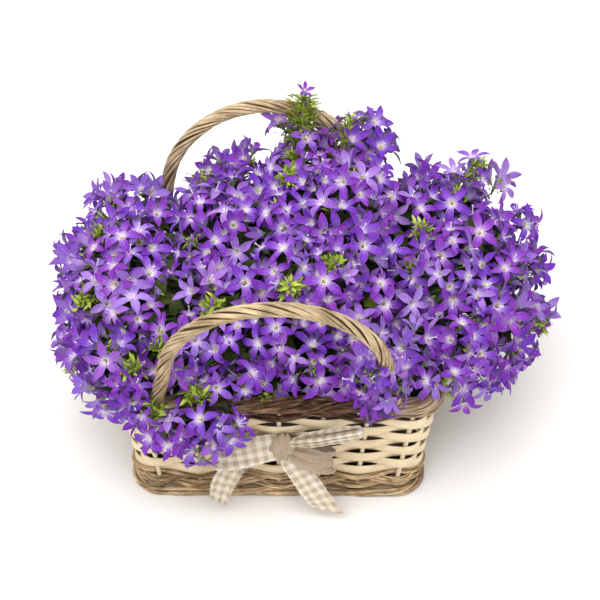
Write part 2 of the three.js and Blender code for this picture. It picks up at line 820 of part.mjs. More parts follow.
// The share of the leafy core that belongs to a plant, with a hole for each trunk and a root stub.
function leafyCore([x, y], trunks) {
  const azimuths = 14;
  const rings = [0, 0, 25, 50, 74].map((degrees, ring) => {
    const elevation = THREE.MathUtils.degToRad(degrees);
    const points = [];
    for (let i = 0; i < azimuths; i++) {
      const azimuth = (2 * Math.PI * i) / azimuths;
      const flat = Math.cos(elevation);
      const way = vector(flat * Math.cos(azimuth), flat * Math.sin(azimuth), Math.sin(elevation));
      const { point } = corePoint(way);
      if (ring === 0) point.z = SOIL_TOP + GAP;
      points.push(point);
    }
    return points;
  });
  const size = 400;
  const plot = new THREE.BoxGeometry(x === 0 ? 2 * LEAFY_SPLIT_X - GAP : size, size, size);
  const plotX = x === 0 ? 0 : Math.sign(x) * (LEAFY_SPLIT_X + GAP / 2 + size / 2);
  plot.translate(plotX, Math.sign(y) * (GAP / 2 + size / 2), 0);
  let core = loft(rings).intersect(solidOfGeometry(plot));
  for (const { foot, head, radius, sides } of trunks) {
    const bottom = foot.clone().addScaledVector(directionTo(head), -GAP);
    const top = head.clone().addScaledVector(directionTo(head), TRUNK_SUNK);
    core = core.subtract(straightStem(bottom, top, holeRadius(radius, sides), sides));
  }
  const stub = straightStem(
    vector(x, y, SOIL_TOP - STEM_HOLE_DEPTH),
    vector(x, y, SOIL_TOP + 8),
    LEAFY_ROOT_RADIUS,
    6,
  );
  return core.add(stub);
}

function growBloom(spray, place) {
  const attempts = 36;
  spray.bloomCount++;
  const below = FIRST_JOINT + JOINT_STEP * ((spray.bloomCount - 1) % 6);
  const joint = spray.head.clone().addScaledVector(spray.way, -below);
  for (let attempt = 0; attempt < attempts; attempt++) {
    const shrink = 1 - (0.35 * attempt) / attempts;
    const facing = place.normal
      .clone()
      .add(vector(random(-0.25, 0.25), random(-0.25, 0.25), random(0.1, 0.45)))
      .normalize();
    const trial = {
      radius: BLOOM_RADIUS * shrink * random(0.95, 1.05),
      facing,
      point: place.point.clone().addScaledVector(place.normal, random(-12, 3)),
      turn: random(0, Math.PI),
      tipLift: random(0.5, 4),
      outside: !insideRim(place.point, -6),
      archHeight: BORDER.z + random(26, 40),
    };
    const underside = trial.point.clone().addScaledVector(facing, -0.6 * trial.radius);
    const looseEnd = bloomSolid({ ...trial, outside: false }, underside, 0);
    const [bloom, swollen] = [0, GAP].map((grow) => bloomSolid(trial, joint, grow));
    if (growNode(spray.name, bloom, swollen, { mostJoint: Infinity, looseEnd })) return true;
  }
  return false;
}

// Leaves round a stem, from a share of its length to its tip, each turned by the golden angle.
function growLeaves(name, curve, count, from, size) {
  const golden = Math.PI * (3 - Math.sqrt(5));
  for (let i = 0; i < count; i++) {
    const share = mix(from, 0.99, i / (count - 1));
    const run = curve.getTangent(share);
    const square = vector(-run.y, run.x, 0.01).normalize();
    for (let attempt = 0; attempt < 4; attempt++) {
      const way = square.clone().applyAxisAngle(run, golden * i + random(-0.5, 0.5));
      way.addScaledVector(run, random(0.35, 0.9)).normalize();
      const scale = size * random(0.8, 1.1);
      const base = stemMiddle(curve, share);
      if (growNode(name, leafSolid(base, way, run, scale), leafSolid(base, way, run, scale, GAP))) break;
    }
  }
}

// A closed bud on a stem, pointed at both ends.
function budSolid(base, way, length, radius) {
  const side = Math.abs(way.z) < 0.9 ? vector(0, 0, 1) : vector(1, 0, 0);
  const axisA = side.clone().cross(way).normalize();
  const axisB = way.clone().cross(axisA);
  const sides = 4;
  const widest = base.clone().addScaledVector(way, 0.4 * length);
  const points = [base.clone(), ...roundSection(widest, axisA, axisB, () => radius, sides)];
  points.push(base.clone().addScaledVector(way, length));
  const corners = [];
  for (let i = 0; i < sides; i++) {
    const k = (i + 1) % sides;
    corners.push(0, 1 + k, 1 + i, sides + 1, 1 + i, 1 + k);
  }
  return solidFrom(points, corners);
}

function growBuds(name, curve, count) {
  for (let i = 0; i < count; i++) {
    const share = 0.96 - 0.07 * i;
    const run = curve.getTangent(share);
    const way = run.clone().add(vector(random(-0.8, 0.8), random(-0.8, 0.8), 0.2)).normalize();
    const size = random(0.85, 1.15);
    const base = stemMiddle(curve, share);
    const bud = budSolid(base, way, 14 * size, 3 * size);
    growNode(name, bud, budSolid(base, way, 14 * size + GAP, 3 * size + GAP));
  }
}

// The name of the plant whose core holds a point.
function plantAt(point) {
  const column = point.x < -LEAFY_SPLIT_X ? 0 : point.x > LEAFY_SPLIT_X ? 2 : 1;
  return `leafy_plant_${1 + column + (point.y > 0 ? 3 : 0)}`;
}

// A leafy side shoot from inside a plant's core to a place just under the blooms.
function growSideShoot(target) {
  for (let attempt = 0; attempt < 8; attempt++) {
    const end = target.point.clone().addScaledVector(target.normal, random(-16, -2));
    const hangs = !insideRim(end, -6);
    const way = directionTo(hangs ? sprayHead(target) : end);
    way.add(vector(random(-0.15, 0.15), random(-0.15, 0.15), 0)).normalize();
    const start = MOUND_HEART.clone().addScaledVector(way, corePoint(way).distance - 8);
    const middle = start.clone().lerp(end, 0.5).add(vector(random(-8, 8), random(-8, 8), random(4, 12)));
    if (hangs) middle.z = Math.max(middle.z, BORDER.z + random(22, 36));
    const name = plantAt(start);
    const curve = new THREE.QuadraticBezierCurve3(start, middle, end);
    const stem = stemSolid(curve, 3, 1.6, 1.1);
    const swollen = stemSolid(curve, 3, 1.6 + GAP, 1.1 + GAP);
    if (!growNode(name, stem, swollen, { mostJoint: Infinity })) continue;
    growLeaves(name, curve, 4, 0.6, 1);
    return;
  }
}

// Leaves that stand out of a plant's core between the trunks.
function growCoreLeaves(name, [x, y]) {
  let grown = 0;
  for (let attempt = 0; attempt < 60 && grown < CORE_LEAVES_PER_PLANT; attempt++) {
    const spot = vector(x + random(-36, 36), y + random(-36, 36), SOIL_TOP + random(24, 80));
    const way = directionTo(spot);
    const base = MOUND_HEART.clone().addScaledVector(way, corePoint(way).distance - 5);
    if (plantAt(base) !== name) continue;
    const lean = way.clone().add(vector(random(-0.5, 0.5), random(-0.5, 0.5), random(-0.2, 0.5)));
    lean.normalize();
    const size = random(1.2, 1.5);
    const up = vector(0, 0, 1);
    const [leaf, swollen] = [0, GAP].map((grow) => leafSolid(base, lean, up, size, grow));
    if (growNode(name, leaf, swollen, { mostJoint: Infinity })) grown++;
  }
}

// Places on the mound between the blooms, where leaves show.
function gapPlaces(blooms, count) {
  const tries = 900;
  const golden = Math.PI * (3 - Math.sqrt(5));
  const found = [];
  for (let i = 0; i < tries; i++) {
    const up = 1 - (1.4 * (i + 0.5)) / tries;
    const flat = Math.sqrt(1 - up * up);
    const place = moundSurface(vector(flat * Math.sin(golden * i), flat * Math.cos(golden * i), up));
    const lowest = insideRim(place.point, BORDER.halfWidth + 14) ? BORDER.z + 22 : MOUND_LOWEST;
    if (place.point.z < lowest) continue;
    place.room = Math.min(...blooms.map((bloom) => bloom.point.distanceTo(place.point)));
    found.push(place);
  }
  found.sort((a, b) => b.room - a.room);
  const chosen = [];
  for (const place of found) {
    if (chosen.length === count) break;
    if (chosen.every((other) => other.point.distanceTo(place.point) > BLOOM_SPACING)) chosen.push(place);
  }
  return chosen;
}

// Assembly: the basket

keep("floor_with_stakes", floorWithStakes(), FINISH.board);
keep("foot_twig", barkTwig(FOOT_TWIG_Z, null), FINISH.bark);
BASE_TWIG_Z.forEach((z, i) => keep(`base_twig_${i + 1}`, barkTwig(z, i), FINISH.bark));
for (let row = 0; row < STRIP.rows; row++) {
  keep(`weaver_strip_${row + 1}`, weaverStrip(row), FINISH.strip);
}
RIM_TWIG_Z.forEach((z, i) => keep(`rim_twig_${i + 1}`, barkTwig(z, i), FINISH.bark));
keep("rim_border", rimBorder(), FINISH.bark);
keep("handle_front", ropeHandle(FRONT_HANDLE), FINISH.willow);
keep("handle_back", ropeHandle(BACK_HANDLE), FINISH.willow);
keep("gingham_bow", ribbonBow(), FINISH.ribbon);
keep("liner", liner(), FINISH.liner);

// Assembly: trunks first, then the leafy cores with their holes, then blooms and leaves in the room left

const blooms = bloomPlaces();
const tallShoots = TALL_TIPS.map(([x, y, z], i) => {
  const tip = vector(x, y, z);
  const head = MOUND_HEART.clone().lerp(tip, 0.6);
  return { tip, ...growTrunk(`tall_shoot_${i + 1}`, head, 1.7, 4, FINISH.leaf) };
});
const sprays = farthestFirst(blooms, SPRAY_COUNT).map((centre, i) => {
  const name = `bloom_spray_${String(i + 1).padStart(2, "0")}`;
  return { centre, bloomCount: 0, ...growTrunk(name, sprayHead(centre), TRUNK_RADIUS, 4, FINISH.petal) };
});
keep("soil", soil(), FINISH.soil);
LEAFY_ROOTS.forEach((place, i) => {
  keep(`leafy_plant_${i + 1}`, leafyCore(place, [...tallShoots, ...sprays]), FINISH.leaf);
});
for (const { name, head, foot, tip } of tallShoots) {
  const start = head.clone().lerp(foot, 0.06);
  const middle = head.clone().lerp(tip, 0.5).add(vector(0, 0, 6));
  const curve = new THREE.QuadraticBezierCurve3(start, middle, tip);
  const stem = stemSolid(curve, 3, 1.5, 1.1);
  growNode(name, stem, stem, { mostJoint: Infinity });
  growLeaves(name, curve, 5, 0.4, 0.75);
  growBuds(name, curve, 3);
}
for (const place of blooms) {
  const distance = (spray) => spray.centre.point.distanceTo(place.point);
  const nearest = [...sprays].sort((a, b) => distance(a) - distance(b)).slice(0, 3);
  nearest.some((spray) => growBloom(spray, place));
}
for (const place of gapPlaces(blooms, SIDE_SHOOTS)) growSideShoot(place);
LEAFY_ROOTS.forEach((place, i) => growCoreLeaves(`leafy_plant_${i + 1}`, place));

for (const { name, solid, finish } of placed) root.add(meshOf(name, solid, finish));

export default root;
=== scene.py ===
import math

import bpy
import numpy as np
from mathutils import Matrix, Vector


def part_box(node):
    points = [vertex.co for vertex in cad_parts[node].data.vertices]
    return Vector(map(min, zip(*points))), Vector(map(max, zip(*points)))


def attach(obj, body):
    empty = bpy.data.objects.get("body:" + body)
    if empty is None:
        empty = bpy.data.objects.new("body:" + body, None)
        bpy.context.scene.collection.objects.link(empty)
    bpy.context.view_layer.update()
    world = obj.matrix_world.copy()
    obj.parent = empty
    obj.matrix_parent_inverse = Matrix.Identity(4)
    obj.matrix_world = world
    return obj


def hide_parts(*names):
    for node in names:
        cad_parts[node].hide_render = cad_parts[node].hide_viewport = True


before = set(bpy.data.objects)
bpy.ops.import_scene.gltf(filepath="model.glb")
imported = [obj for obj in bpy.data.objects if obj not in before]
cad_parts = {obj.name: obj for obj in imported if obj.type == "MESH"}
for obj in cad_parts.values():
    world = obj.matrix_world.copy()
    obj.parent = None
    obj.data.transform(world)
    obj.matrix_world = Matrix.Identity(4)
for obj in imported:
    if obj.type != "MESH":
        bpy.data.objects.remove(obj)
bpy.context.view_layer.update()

seed = 20517
rng = np.random.default_rng(seed)
mm = 0.001  # lengths are in millimetres until a mesh is made; the camera and the studio are in metres

# Camera at the photograph's viewing angle, over the front of the basket
cameraSettings = {
    "azimuth": -0.6,
    "elevation": 44.0,
    "roll": 0.8,
    "distance": 1.8,
    "lens": 117.7,
    "sensor": 36.0,
    "target": (0.0184, 0.0, 0.1456),
    "photoPixels": 600,
}


def addCamera(s):
    a, e, r = (math.radians(s[k]) for k in ("azimuth", "elevation", "roll"))
    back = Vector((math.sin(a) * math.cos(e), -math.cos(a) * math.cos(e), math.sin(e)))
    flat = Vector((math.cos(a), math.sin(a), 0))
    up = back.cross(flat)
    right = flat * math.cos(r) + up * math.sin(r)
    data = bpy.data.cameras.new("viewFromPhoto")
    data.lens = s["lens"]
    data.sensor_width = s["sensor"]
    camera = bpy.data.objects.new("viewFromPhoto", data)
    bpy.context.collection.objects.link(camera)
    turn = Matrix((right, back.cross(right), back)).transposed()
    eye = Vector(s["target"]) + back * s["distance"]
    camera.matrix_world = Matrix.Translation(eye) @ turn.to_4x4()
    bpy.context.scene.camera = camera


addCamera(cameraSettings)


# Nodes

def newMaterial(name, roughness=0.7, specular=0.3, **sockets):
    material = bpy.data.materials.new(name)
    material.use_nodes = True
    tree = material.node_tree
    shader = tree.nodes["Principled BSDF"]
    shader.inputs["Roughness"].default_value = roughness
    shader.inputs["Specular IOR Level"].default_value = specular
    for socket, value in sockets.items():
        shader.inputs[socket.replace("_", " ")].default_value = value
    return material, tree, shader


def feed(tree, socket, value):
    # a socket takes a link, a colour or a plain number
    if isinstance(value, bpy.types.NodeSocket):
        tree.links.new(value, socket)
    elif isinstance(value, tuple) and len(value) == 3 and socket.type == "RGBA":
        socket.default_value = (*value, 1)
    else:
        socket.default_value = value


def addNode(tree, kind, **values):
    node = tree.nodes.new(kind)
    for key, value in values.items():
        if hasattr(node, key):
            setattr(node, key, value)
        else:
            feed(tree, node.inputs[key.replace("_", " ")], value)
    return node


def ramp(tree, fac, stops):
    node = addNode(tree, "ShaderNodeValToRGB", Fac=fac)
    elements = node.color_ramp.elements
    while len(elements) < len(stops):
        elements.new(0.5)
    for element, (place, colour) in zip(elements, stops):
        element.position = place
        element.color = (*colour, 1)
    return node.outputs["Color"]


def mixColours(tree, fac, a, b, blend="MIX"):
    node = addNode(tree, "ShaderNodeMix", data_type="RGBA", blend_type=blend)
    for number, value in ((0, fac), (6, a), (7, b)):  # the factor and the two colours
        feed(tree, node.inputs[number], value)
    return node.outputs[2]


def shaded(tree, colour, shade):
    return mixColours(tree, 1.0, colour, shade, "MULTIPLY")


def maths(tree, operation, a, b=0.5):
    node = addNode(tree, "ShaderNodeMath", operation=operation)
    feed(tree, node.inputs[0], a)
    feed(tree, node.inputs[1], b)
    return node.outputs[0]


def stretched(tree, source, scale):
    return addNode(tree, "ShaderNodeMapping", Vector=source, Scale=scale).outputs["Vector"]


def noise(tree, where, scale, detail=3, rough=0.55):
    node = addNode(tree, "ShaderNodeTexNoise", Vector=where, Scale=scale, Detail=detail, Roughness=rough)
    return node.outputs["Fac"]


def setColour(tree, shader, colour):
    tree.links.new(colour, shader.inputs["Base Color"])


def addBump(tree, shader, height, strength, depth):
    node = addNode(tree, "ShaderNodeBump", Height=height, Strength=strength, Distance=depth)
    tree.links.new(node.outputs["Normal"], shader.inputs["Normal"])


def objectPlace(tree):
    return addNode(tree, "ShaderNodeTexCoord").outputs["Object"]


def surfacePlace(tree):
    return addNode(tree, "ShaderNodeUVMap", uv_map="surface").outputs["UV"]


def grainMaterial(name, look):
    # one noise, drawn out along the grain, gives the colour and the bump, and a second one gives patches
    material, tree, shader = newMaterial(name, look["roughness"], look["specular"], **look.get("sheen", {}))
    where = surfacePlace(tree) if look.get("followsSurface") else objectPlace(tree)
    if "stretch" in look:
        where = stretched(tree, where, look["stretch"])
    grain = noise(tree, where, *look["grain"])
    colour = ramp(tree, grain, look["colours"])
    if "patches" in look:
        patches = noise(tree, objectPlace(tree), look["patches"])
        colour = shaded(tree, colour, ramp(tree, patches, look["patchColours"]))
    setColour(tree, shader, colour)
    if "bump" in look:
        addBump(tree, shader, grain, *look["bump"])
    return material


# Meshes: parts with points, faces, a surface map and a tone are gathered and then made at once

class Gathered:
    total = 0

    def __init__(self):
        self.points, self.quads, self.maps, self.tones, self.slots = [], [], [], [], []
        self.count = 0

    def add(self, points, quads, surface=None, tone=None, slot=0):
        n = len(points)
        self.points.append(points)
        self.quads.append(np.asarray(quads) + self.count)
        self.maps.append(np.zeros((n, 2)) if surface is None else surface)
        self.tones.append(np.zeros((n, 4)) if tone is None else tone)
        self.slots.append(np.full(len(quads), slot))
        self.count += n

    def make(self, name, materials, smooth=True):
        points = np.concatenate(self.points) * mm
        quads = np.concatenate(self.quads)
        surface = np.concatenate(self.maps)
        slots = np.concatenate(self.slots)
        isTriangle = quads[:, 2] == quads[:, 3]  # a triangle is a quad whose last corner repeats
        Gathered.total += 2 * len(quads) - int(isTriangle.sum())
        sizes = np.where(isTriangle, 3, 4)
        starts = np.concatenate(([0], np.cumsum(sizes)[:-1]))
        keep = np.ones_like(quads, bool)
        keep[isTriangle, 3] = False
        corners = quads[keep]
        mesh = bpy.data.meshes.new(name)
        mesh.vertices.add(len(points))
        mesh.vertices.foreach_set("co", points.astype(np.float32).ravel())
        mesh.loops.add(len(corners))
        mesh.loops.foreach_set("vertex_index", corners.astype(np.int32))
        mesh.polygons.add(len(quads))
        mesh.polygons.foreach_set("loop_start", starts.astype(np.int32))
        mesh.polygons.foreach_set("material_index", slots.astype(np.int32))
        mesh.polygons.foreach_set("use_smooth", np.full(len(quads), smooth))
        layer = mesh.uv_layers.new(name="surface")
        layer.data.foreach_set("uv", surface[corners].astype(np.float32).ravel())
        tones = mesh.color_attributes.new(name="tone", type="FLOAT_COLOR", domain="POINT")
        tones.data.foreach_set("color", np.concatenate(self.tones).astype(np.float32).ravel())
        mesh.update(calc_edges=True)
        mesh.validate()
        piece = bpy.data.objects.new(name, mesh)
        for material in materials:
            mesh.materials.append(material)
        bpy.context.collection.objects.link(piece)
        return piece


def finishPiece(piece, slot, *nodes):
    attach(piece, "root")
    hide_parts(*nodes)
    return piece


def unit(v):
    return v / np.maximum(np.linalg.norm(v, axis=-1, keepdims=True), 1e-9)


def runLength(line):
    # how far along a line each of its points lies
    return np.concatenate(([0], np.cumsum(np.linalg.norm(np.diff(line, axis=0), axis=1))))


def rounded(line):
    # the corners of a line smoothed once, with both ends kept
    line[1:-1] = (line[:-2] + 2 * line[1:-1] + line[2:]) / 4


def around(turns):
    # for each turn about the z axis, the way out and the way to its side
    zero = np.zeros(len(turns))
    out = np.stack([np.cos(turns), np.sin(turns), zero], 1)
    side = np.stack([-np.sin(turns), np.cos(turns), zero], 1)
    return out, side


def acrossPair(way, hint):
    # two ways that are square to a way and to each other
    first = unit(np.cross(way, hint))
    return first, np.cross(way, first)


def gridQuads(rows, columns, wrapRows=False, wrapColumns=False):
    rowNumbers = np.arange(rows if wrapRows else rows - 1)
    columnNumbers = np.arange(columns if wrapColumns else columns - 1)
    i, j = np.meshgrid(rowNumbers, columnNumbers, indexing="ij")
    i, j = i.ravel(), j.ravel()
    nextRow, nextColumn = (i + 1) % rows, (j + 1) % columns
    return np.stack(
        [i * columns + j, nextRow * columns + j, nextRow * columns + nextColumn, i * columns + nextColumn], 1
    )


def fan(centre, ring, flipped=False):
    # triangles from one point to each edge of a ring
    after = np.roll(ring, -1)
    a, b = (after, ring) if flipped else (ring, after)
    return np.stack([np.full(len(ring), centre), a, b, b], 1)


def closedStack(rings, firstCentre, lastCentre):
    # a closed body of rings, with a fan over the first and the last one
    count = len(rings[0])
    total = len(rings) * count
    points = np.concatenate([*rings, np.array([firstCentre, lastCentre], float)])
    ring = np.arange(count)
    sides = gridQuads(len(rings), count, wrapColumns=True)[:, ::-1]
    ends = [fan(total, ring, flipped=True), fan(total + 1, total - count + ring)]
    return points, np.concatenate([sides, *ends])


def frames(line, hint, ring):
    ahead = np.roll(line, -1, 0) - np.roll(line, 1, 0)
    if not ring:
        ahead[0], ahead[-1] = line[1] - line[0], line[-1] - line[-2]
    along = unit(ahead)
    side = unit(hint - along * np.sum(hint * along, 1, keepdims=True))
    return along, side, np.cross(along, side)


slantedHint = (0.13, 0.21, 0.97)  # seldom along a rod, so that its sides have a way to face


# A rod through points: its section is round, with a radius for each point and each side
def addRod(gathered, line, radius, sides, hint=None, ring=False, slot=0, tone=None, seam=0.0):
    line = np.asarray(line, float)
    n = len(line)
    hint = np.tile(slantedHint, (n, 1)) if hint is None else hint
    _, side, up = frames(line, hint, ring)
    angles = np.linspace(0, 2 * np.pi, sides, endpoint=False)
    radius = np.asarray(radius, float)
    radius = np.broadcast_to(radius[:, None] if radius.ndim == 1 else radius, (n, sides))
    cos, sin = np.cos(angles), np.sin(angles)
    points = (
        line[:, None]
        + side[:, None] * (radius * cos)[..., None]
        + up[:, None] * (radius * sin)[..., None]
    ).reshape(-1, 3)
    mapAlong = np.repeat(runLength(line), sides) + seam
    mapRound = np.tile(np.abs(angles - np.pi) * radius.mean(), n)
    surface = np.stack([mapAlong, mapRound], 1)
    quads = gridQuads(n, sides, wrapRows=ring, wrapColumns=True)
    if not ring:
        first, last = len(points), len(points) + 1
        points = np.concatenate([points, line[:1], line[-1:]])
        surface = np.concatenate([surface, surface[:1], surface[-1:]])
        j = np.arange(sides)
        quads = np.concatenate([quads, fan(first, j), fan(last, (n - 1) * sides + j, flipped=True)])
    tones = None if tone is None else np.tile(tone, (len(points), 1))
    gathered.add(points, quads, surface, tones, slot)


def smoothNoise(count, knots, ring=True):
    # random values at knots, joined by a smooth curve
    values = rng.uniform(-1, 1, knots)
    x = np.linspace(0, knots if ring else knots - 1, count, endpoint=not ring)
    i = np.floor(x).astype(int)
    f = x - i
    f = f * f * (3 - 2 * f)
    a, b = values[i % knots], values[(i + 1) % knots if ring else np.minimum(i + 1, knots - 1)]
    return a + (b - a) * f


# Basket walls, a rounded rectangle that widens upwards, with its stakes and its floor
basket = {
    "height": 130,
    "footHalf": (125.5, 102.5),
    "rimHalf": (139.0, 114.0),
    "corner": 18,
    "stakesBySide": (7, 6, 7, 6),
    "stepsPerStake": 8,
}
stake = {"radius": 2.25, "top": 122.5, "sides": 10, "steps": 12, "knots": 5, "uneven": 0.06, "mapShift": 37.0}
board = {"thickness": 5, "steps": 130, "pastStakes": 0.3, "lowBevel": (1.2, 1.0), "topBevel": (1.0, 0.8)}
stakeCount = sum(basket["stakesBySide"])
ringSteps = stakeCount * basket["stepsPerStake"]
ringStations = np.arange(ringSteps) * stakeCount / ringSteps


def wallLine(s, z, offset=0.0):
    # s counts stakes round the wall: whole numbers at the stakes, the corners between two of them
    s = np.asarray(s, float) % stakeCount
    z = np.broadcast_to(np.asarray(z, float), s.shape)
    share = z / basket["height"]
    half = [f + (r - f) * share for f, r in zip(basket["footHalf"], basket["rimHalf"])]
    corner = basket["corner"]
    radius = np.broadcast_to(corner + np.asarray(offset, float), s.shape)[:, None]
    points, outs = np.zeros((len(s), 3)), np.zeros((len(s), 3))
    points[:, 2] = z
    start = 0
    for quarter, stakes in enumerate(basket["stakesBySide"]):
        turn = math.radians(90 * quarter)
        along = np.array([math.cos(turn), math.sin(turn)])
        out = np.array([along[1], -along[0]])
        length, reach = (half[0], half[1]) if quarter % 2 == 0 else (half[1], half[0])
        here = (s >= start) & (s < start + stakes)
        t = np.clip(2 * (s - start) / (stakes - 1) - 1, -1, 1)
        bend = np.clip(s - (start + stakes - 1), 0, 1) * math.pi / 2
        way = np.cos(bend)[:, None] * out + np.sin(bend)[:, None] * along
        middle = (t * (length - corner))[:, None] * along + (reach - corner)[:, None] * out
        points[here, :2] = (middle + radius * way)[here]
        outs[here, :2] = way[here]
        start += stakes
    return points, outs


def weaveOffset(s, row, reach):
    return -reach * np.cos(math.pi * (s + row))


def woodLook(dark, pale, roughness=0.7):
    return {
        "roughness": roughness,
        "specular": 0.25,
        "stretch": (40, 300, 40),
        "grain": (1.0, 4),
        "colours": [(0.3, dark), (0.7, pale)],
        "bump": (0.3, 0.0004),
    }


peeledStake = grainMaterial("peeledStake", woodLook((0.62, 0.5, 0.34), (0.8, 0.7, 0.52)))
floorBoard = grainMaterial("floorBoard", woodLook((0.42, 0.31, 0.19), (0.6, 0.48, 0.32)))


def makeFloorAndStakes():
    made = Gathered()
    for i in range(stakeCount):
        z = np.linspace(board["thickness"] / 2, stake["top"], stake["steps"])
        line, _ = wallLine(np.full(stake["steps"], float(i)), z)
        thinner = stake["uneven"] * (1 + smoothNoise(stake["steps"], stake["knots"], ring=False))
        addRod(made, line, stake["radius"] * (1 - thinner), stake["sides"], seam=stake["mapShift"] * i)
    s = np.linspace(0, stakeCount, board["steps"], endpoint=False)
    edge = stake["radius"] + board["pastStakes"]
    top = board["thickness"]
    (lowIn, lowUp), (topIn, topDown) = board["lowBevel"], board["topBevel"]
    rings = []
    for z, offset in [(0.0, edge - lowIn), (lowUp, edge), (top - topDown, edge), (top, edge - topIn)]:
        ring, _ = wallLine(s, 0.0, offset)
        ring[:, 2] = z
        rings.append(ring)
    made.add(*closedStack(rings, (0, 0, 0), (0, 0, top)), slot=1)
    finishPiece(made.make("floorAndStakes", [peeledStake, floorBoard]), "board", "floor_with_stakes")


makeFloorAndStakes()

# Cream strips: flat weavers that pass in front of one stake and behind the next
strip = {
    "rows": 8,
    "first": 35.1,
    "pitch": 9.7,
    "height": 9.2,
    "heightUneven": 0.02,
    "bulge": 1.7,
    "thickness": 1.3,
    "offStake": 0.6,
    "wobble": 0.3,
    "lean": 0.48,
    "knots": {"wobble": 17, "height": 23, "lean": 19},
    "mapShift": 731.0,
    "mapShoulder": 4.1,
}
stripLook = {
    "roughness": 0.62,
    "specular": 0.25,
    "followsSurface": True,
    "stretch": (0.06, 1.6, 1),
    "grain": (1.0, 4, 0.6),
    "colours": [(0.25, (0.64, 0.48, 0.29)), (0.5, (0.87, 0.73, 0.5)), (0.8, (0.94, 0.85, 0.67))],
    "patches": 22,
    "patchColours": [(0.35, (0.86, 0.82, 0.76)), (0.65, (1.0, 1.0, 1.0))],
    "bump": (0.5, 0.0006),
}
creamStrip = grainMaterial("creamStrip", stripLook)


def makeStrip(row):
    made = Gathered()
    knots = strip["knots"]
    z = strip["first"] + row * strip["pitch"] + strip["wobble"] * smoothNoise(ringSteps, knots["wobble"])
    reach = stake["radius"] + strip["offStake"] + strip["thickness"] / 2
    middle, out = wallLine(ringStations, z, weaveOffset(ringStations, row, reach))
    uneven = strip["heightUneven"]
    height = strip["height"] * (1 - uneven + uneven * smoothNoise(ringSteps, knots["height"]))
    height = height + strip["bulge"] * np.cos(math.pi * (ringStations + row)) ** 2
    lean = strip["lean"] * smoothNoise(ringSteps, knots["lean"])
    # the section, as shares of the height and millimetres of depth
    h, t = 0.5, strip["thickness"] / 2
    profile = [
        (-h, 0), (-0.9 * h, t), (0, 1.15 * t), (0.9 * h, t),
        (h, 0), (0.9 * h, -t), (0, -0.85 * t), (-0.9 * h, -t),
    ]
    up = np.array([0.0, 0.0, 1.0])
    points = np.stack(
        [middle + up * (a * height)[:, None] + out * (b + a * lean)[:, None] for a, b in profile], 1
    )
    edge, shoulder = strip["height"] / 2, strip["mapShoulder"]
    across = [-edge, -shoulder, 0, shoulder, edge, shoulder, 0, -shoulder]
    length = runLength(middle) + strip["mapShift"] * row
    surface = np.stack([np.repeat(length, len(profile)), np.tile(across, ringSteps)], 1)
    made.add(points.reshape(-1, 3), gridQuads(ringSteps, len(profile), True, True), surface)
    finishPiece(made.make(f"weaverStrip{row + 1}", [creamStrip]), "strip", f"weaver_strip_{row + 1}")


for row in range(strip["rows"]):
    makeStrip(row)
print("stakes and strips made")

# Bark twigs: each ring is a bundle of rough strands that turn slowly round each other
twigs = {
    "strands": 7,
    "sides": 6,
    "radius": 1.45,
    "radiusShares": (0.75, 1.15),
    "rough": 0.3,
    "turns": (1, 4),
    "windUneven": 1.1,
    "spread": 2.5,
    "spreadUneven": 0.25,
    "upright": 1.1,
    "reach": 6.3,
    "weave": 4.1,
    "footZ": 4.0,
    "baseZ": (11.7, 19.1, 26.5),
    "rimZ": (111.6, 119.0),
    "offGround": 0.2,
}
barkLook = {
    "roughness": 0.85,
    "specular": 0.15,
    "stretch": (0.08, 1.3, 1),
    "fibre": (1.0, 6, 0.65),
    "fibreStops": (0.36, 0.5, 0.66),
    "patches": (30, 4, 0.6),
    "patchColours": [(0.3, (0.62, 0.56, 0.5)), (0.7, (1.15, 1.1, 1.05))],
    "wornUneven": 0.05,
    "wornSpan": [(0.095, (0, 0, 0)), (0.14, (1, 1, 1))],
    "wornStops": (0.3, 0.55),
    "driftStretch": (0.014, 0.05, 1),
    "drift": [(0.34, (0.5, 0.44, 0.38)), (0.5, (0.95, 0.93, 0.9)), (0.64, (1.3, 1.28, 1.22))],
    "bump": (0.8, 0.0012),
}
footColours = [(0.07, 0.04, 0.018), (0.6, 0.44, 0.26), (1.0, 0.9, 0.7)]
rimColours = [(0.025, 0.013, 0.008), (0.12, 0.066, 0.04), (0.46, 0.33, 0.22)]
rimWorn = (0.66, 0.55, 0.4)
mapSpan = 900  # each strand takes its grain from a place of its own on this length


def barkMaterial(name, colours, worn=None):
    look = barkLook
    material, tree, shader = newMaterial(name, look["roughness"], look["specular"])
    where = surfacePlace(tree)
    fibre = noise(tree, stretched(tree, where, look["stretch"]), *look["fibre"])
    patches = noise(tree, objectPlace(tree), *look["patches"])
    colour = ramp(tree, fibre, list(zip(look["fibreStops"], colours)))
    if worn:
        # the bark has worn pale towards the ends of the long sides
        across = addNode(tree, "ShaderNodeSeparateXYZ", Vector=objectPlace(tree)).outputs["X"]
        uneven = maths(tree, "MULTIPLY", patches, look["wornUneven"])
        ends = maths(tree, "ADD", maths(tree, "ABSOLUTE", across), uneven)
        pale = ramp(tree, fibre, list(zip(look["wornStops"], (colours[1], worn))))
        colour = mixColours(tree, ramp(tree, ends, look["wornSpan"]), colour, pale)
    colour = shaded(tree, colour, ramp(tree, patches, look["patchColours"]))
    # each strand has a tone of its own, which drifts along it
    strand = noise(tree, stretched(tree, where, look["driftStretch"]), 1.0, 2)
    setColour(tree, shader, shaded(tree, colour, ramp(tree, strand, look["drift"])))
    addBump(tree, shader, fibre, *look["bump"])
    return material


footBark = barkMaterial("footBark", footColours)
rimBark = barkMaterial("rimBark", rimColours, rimWorn)


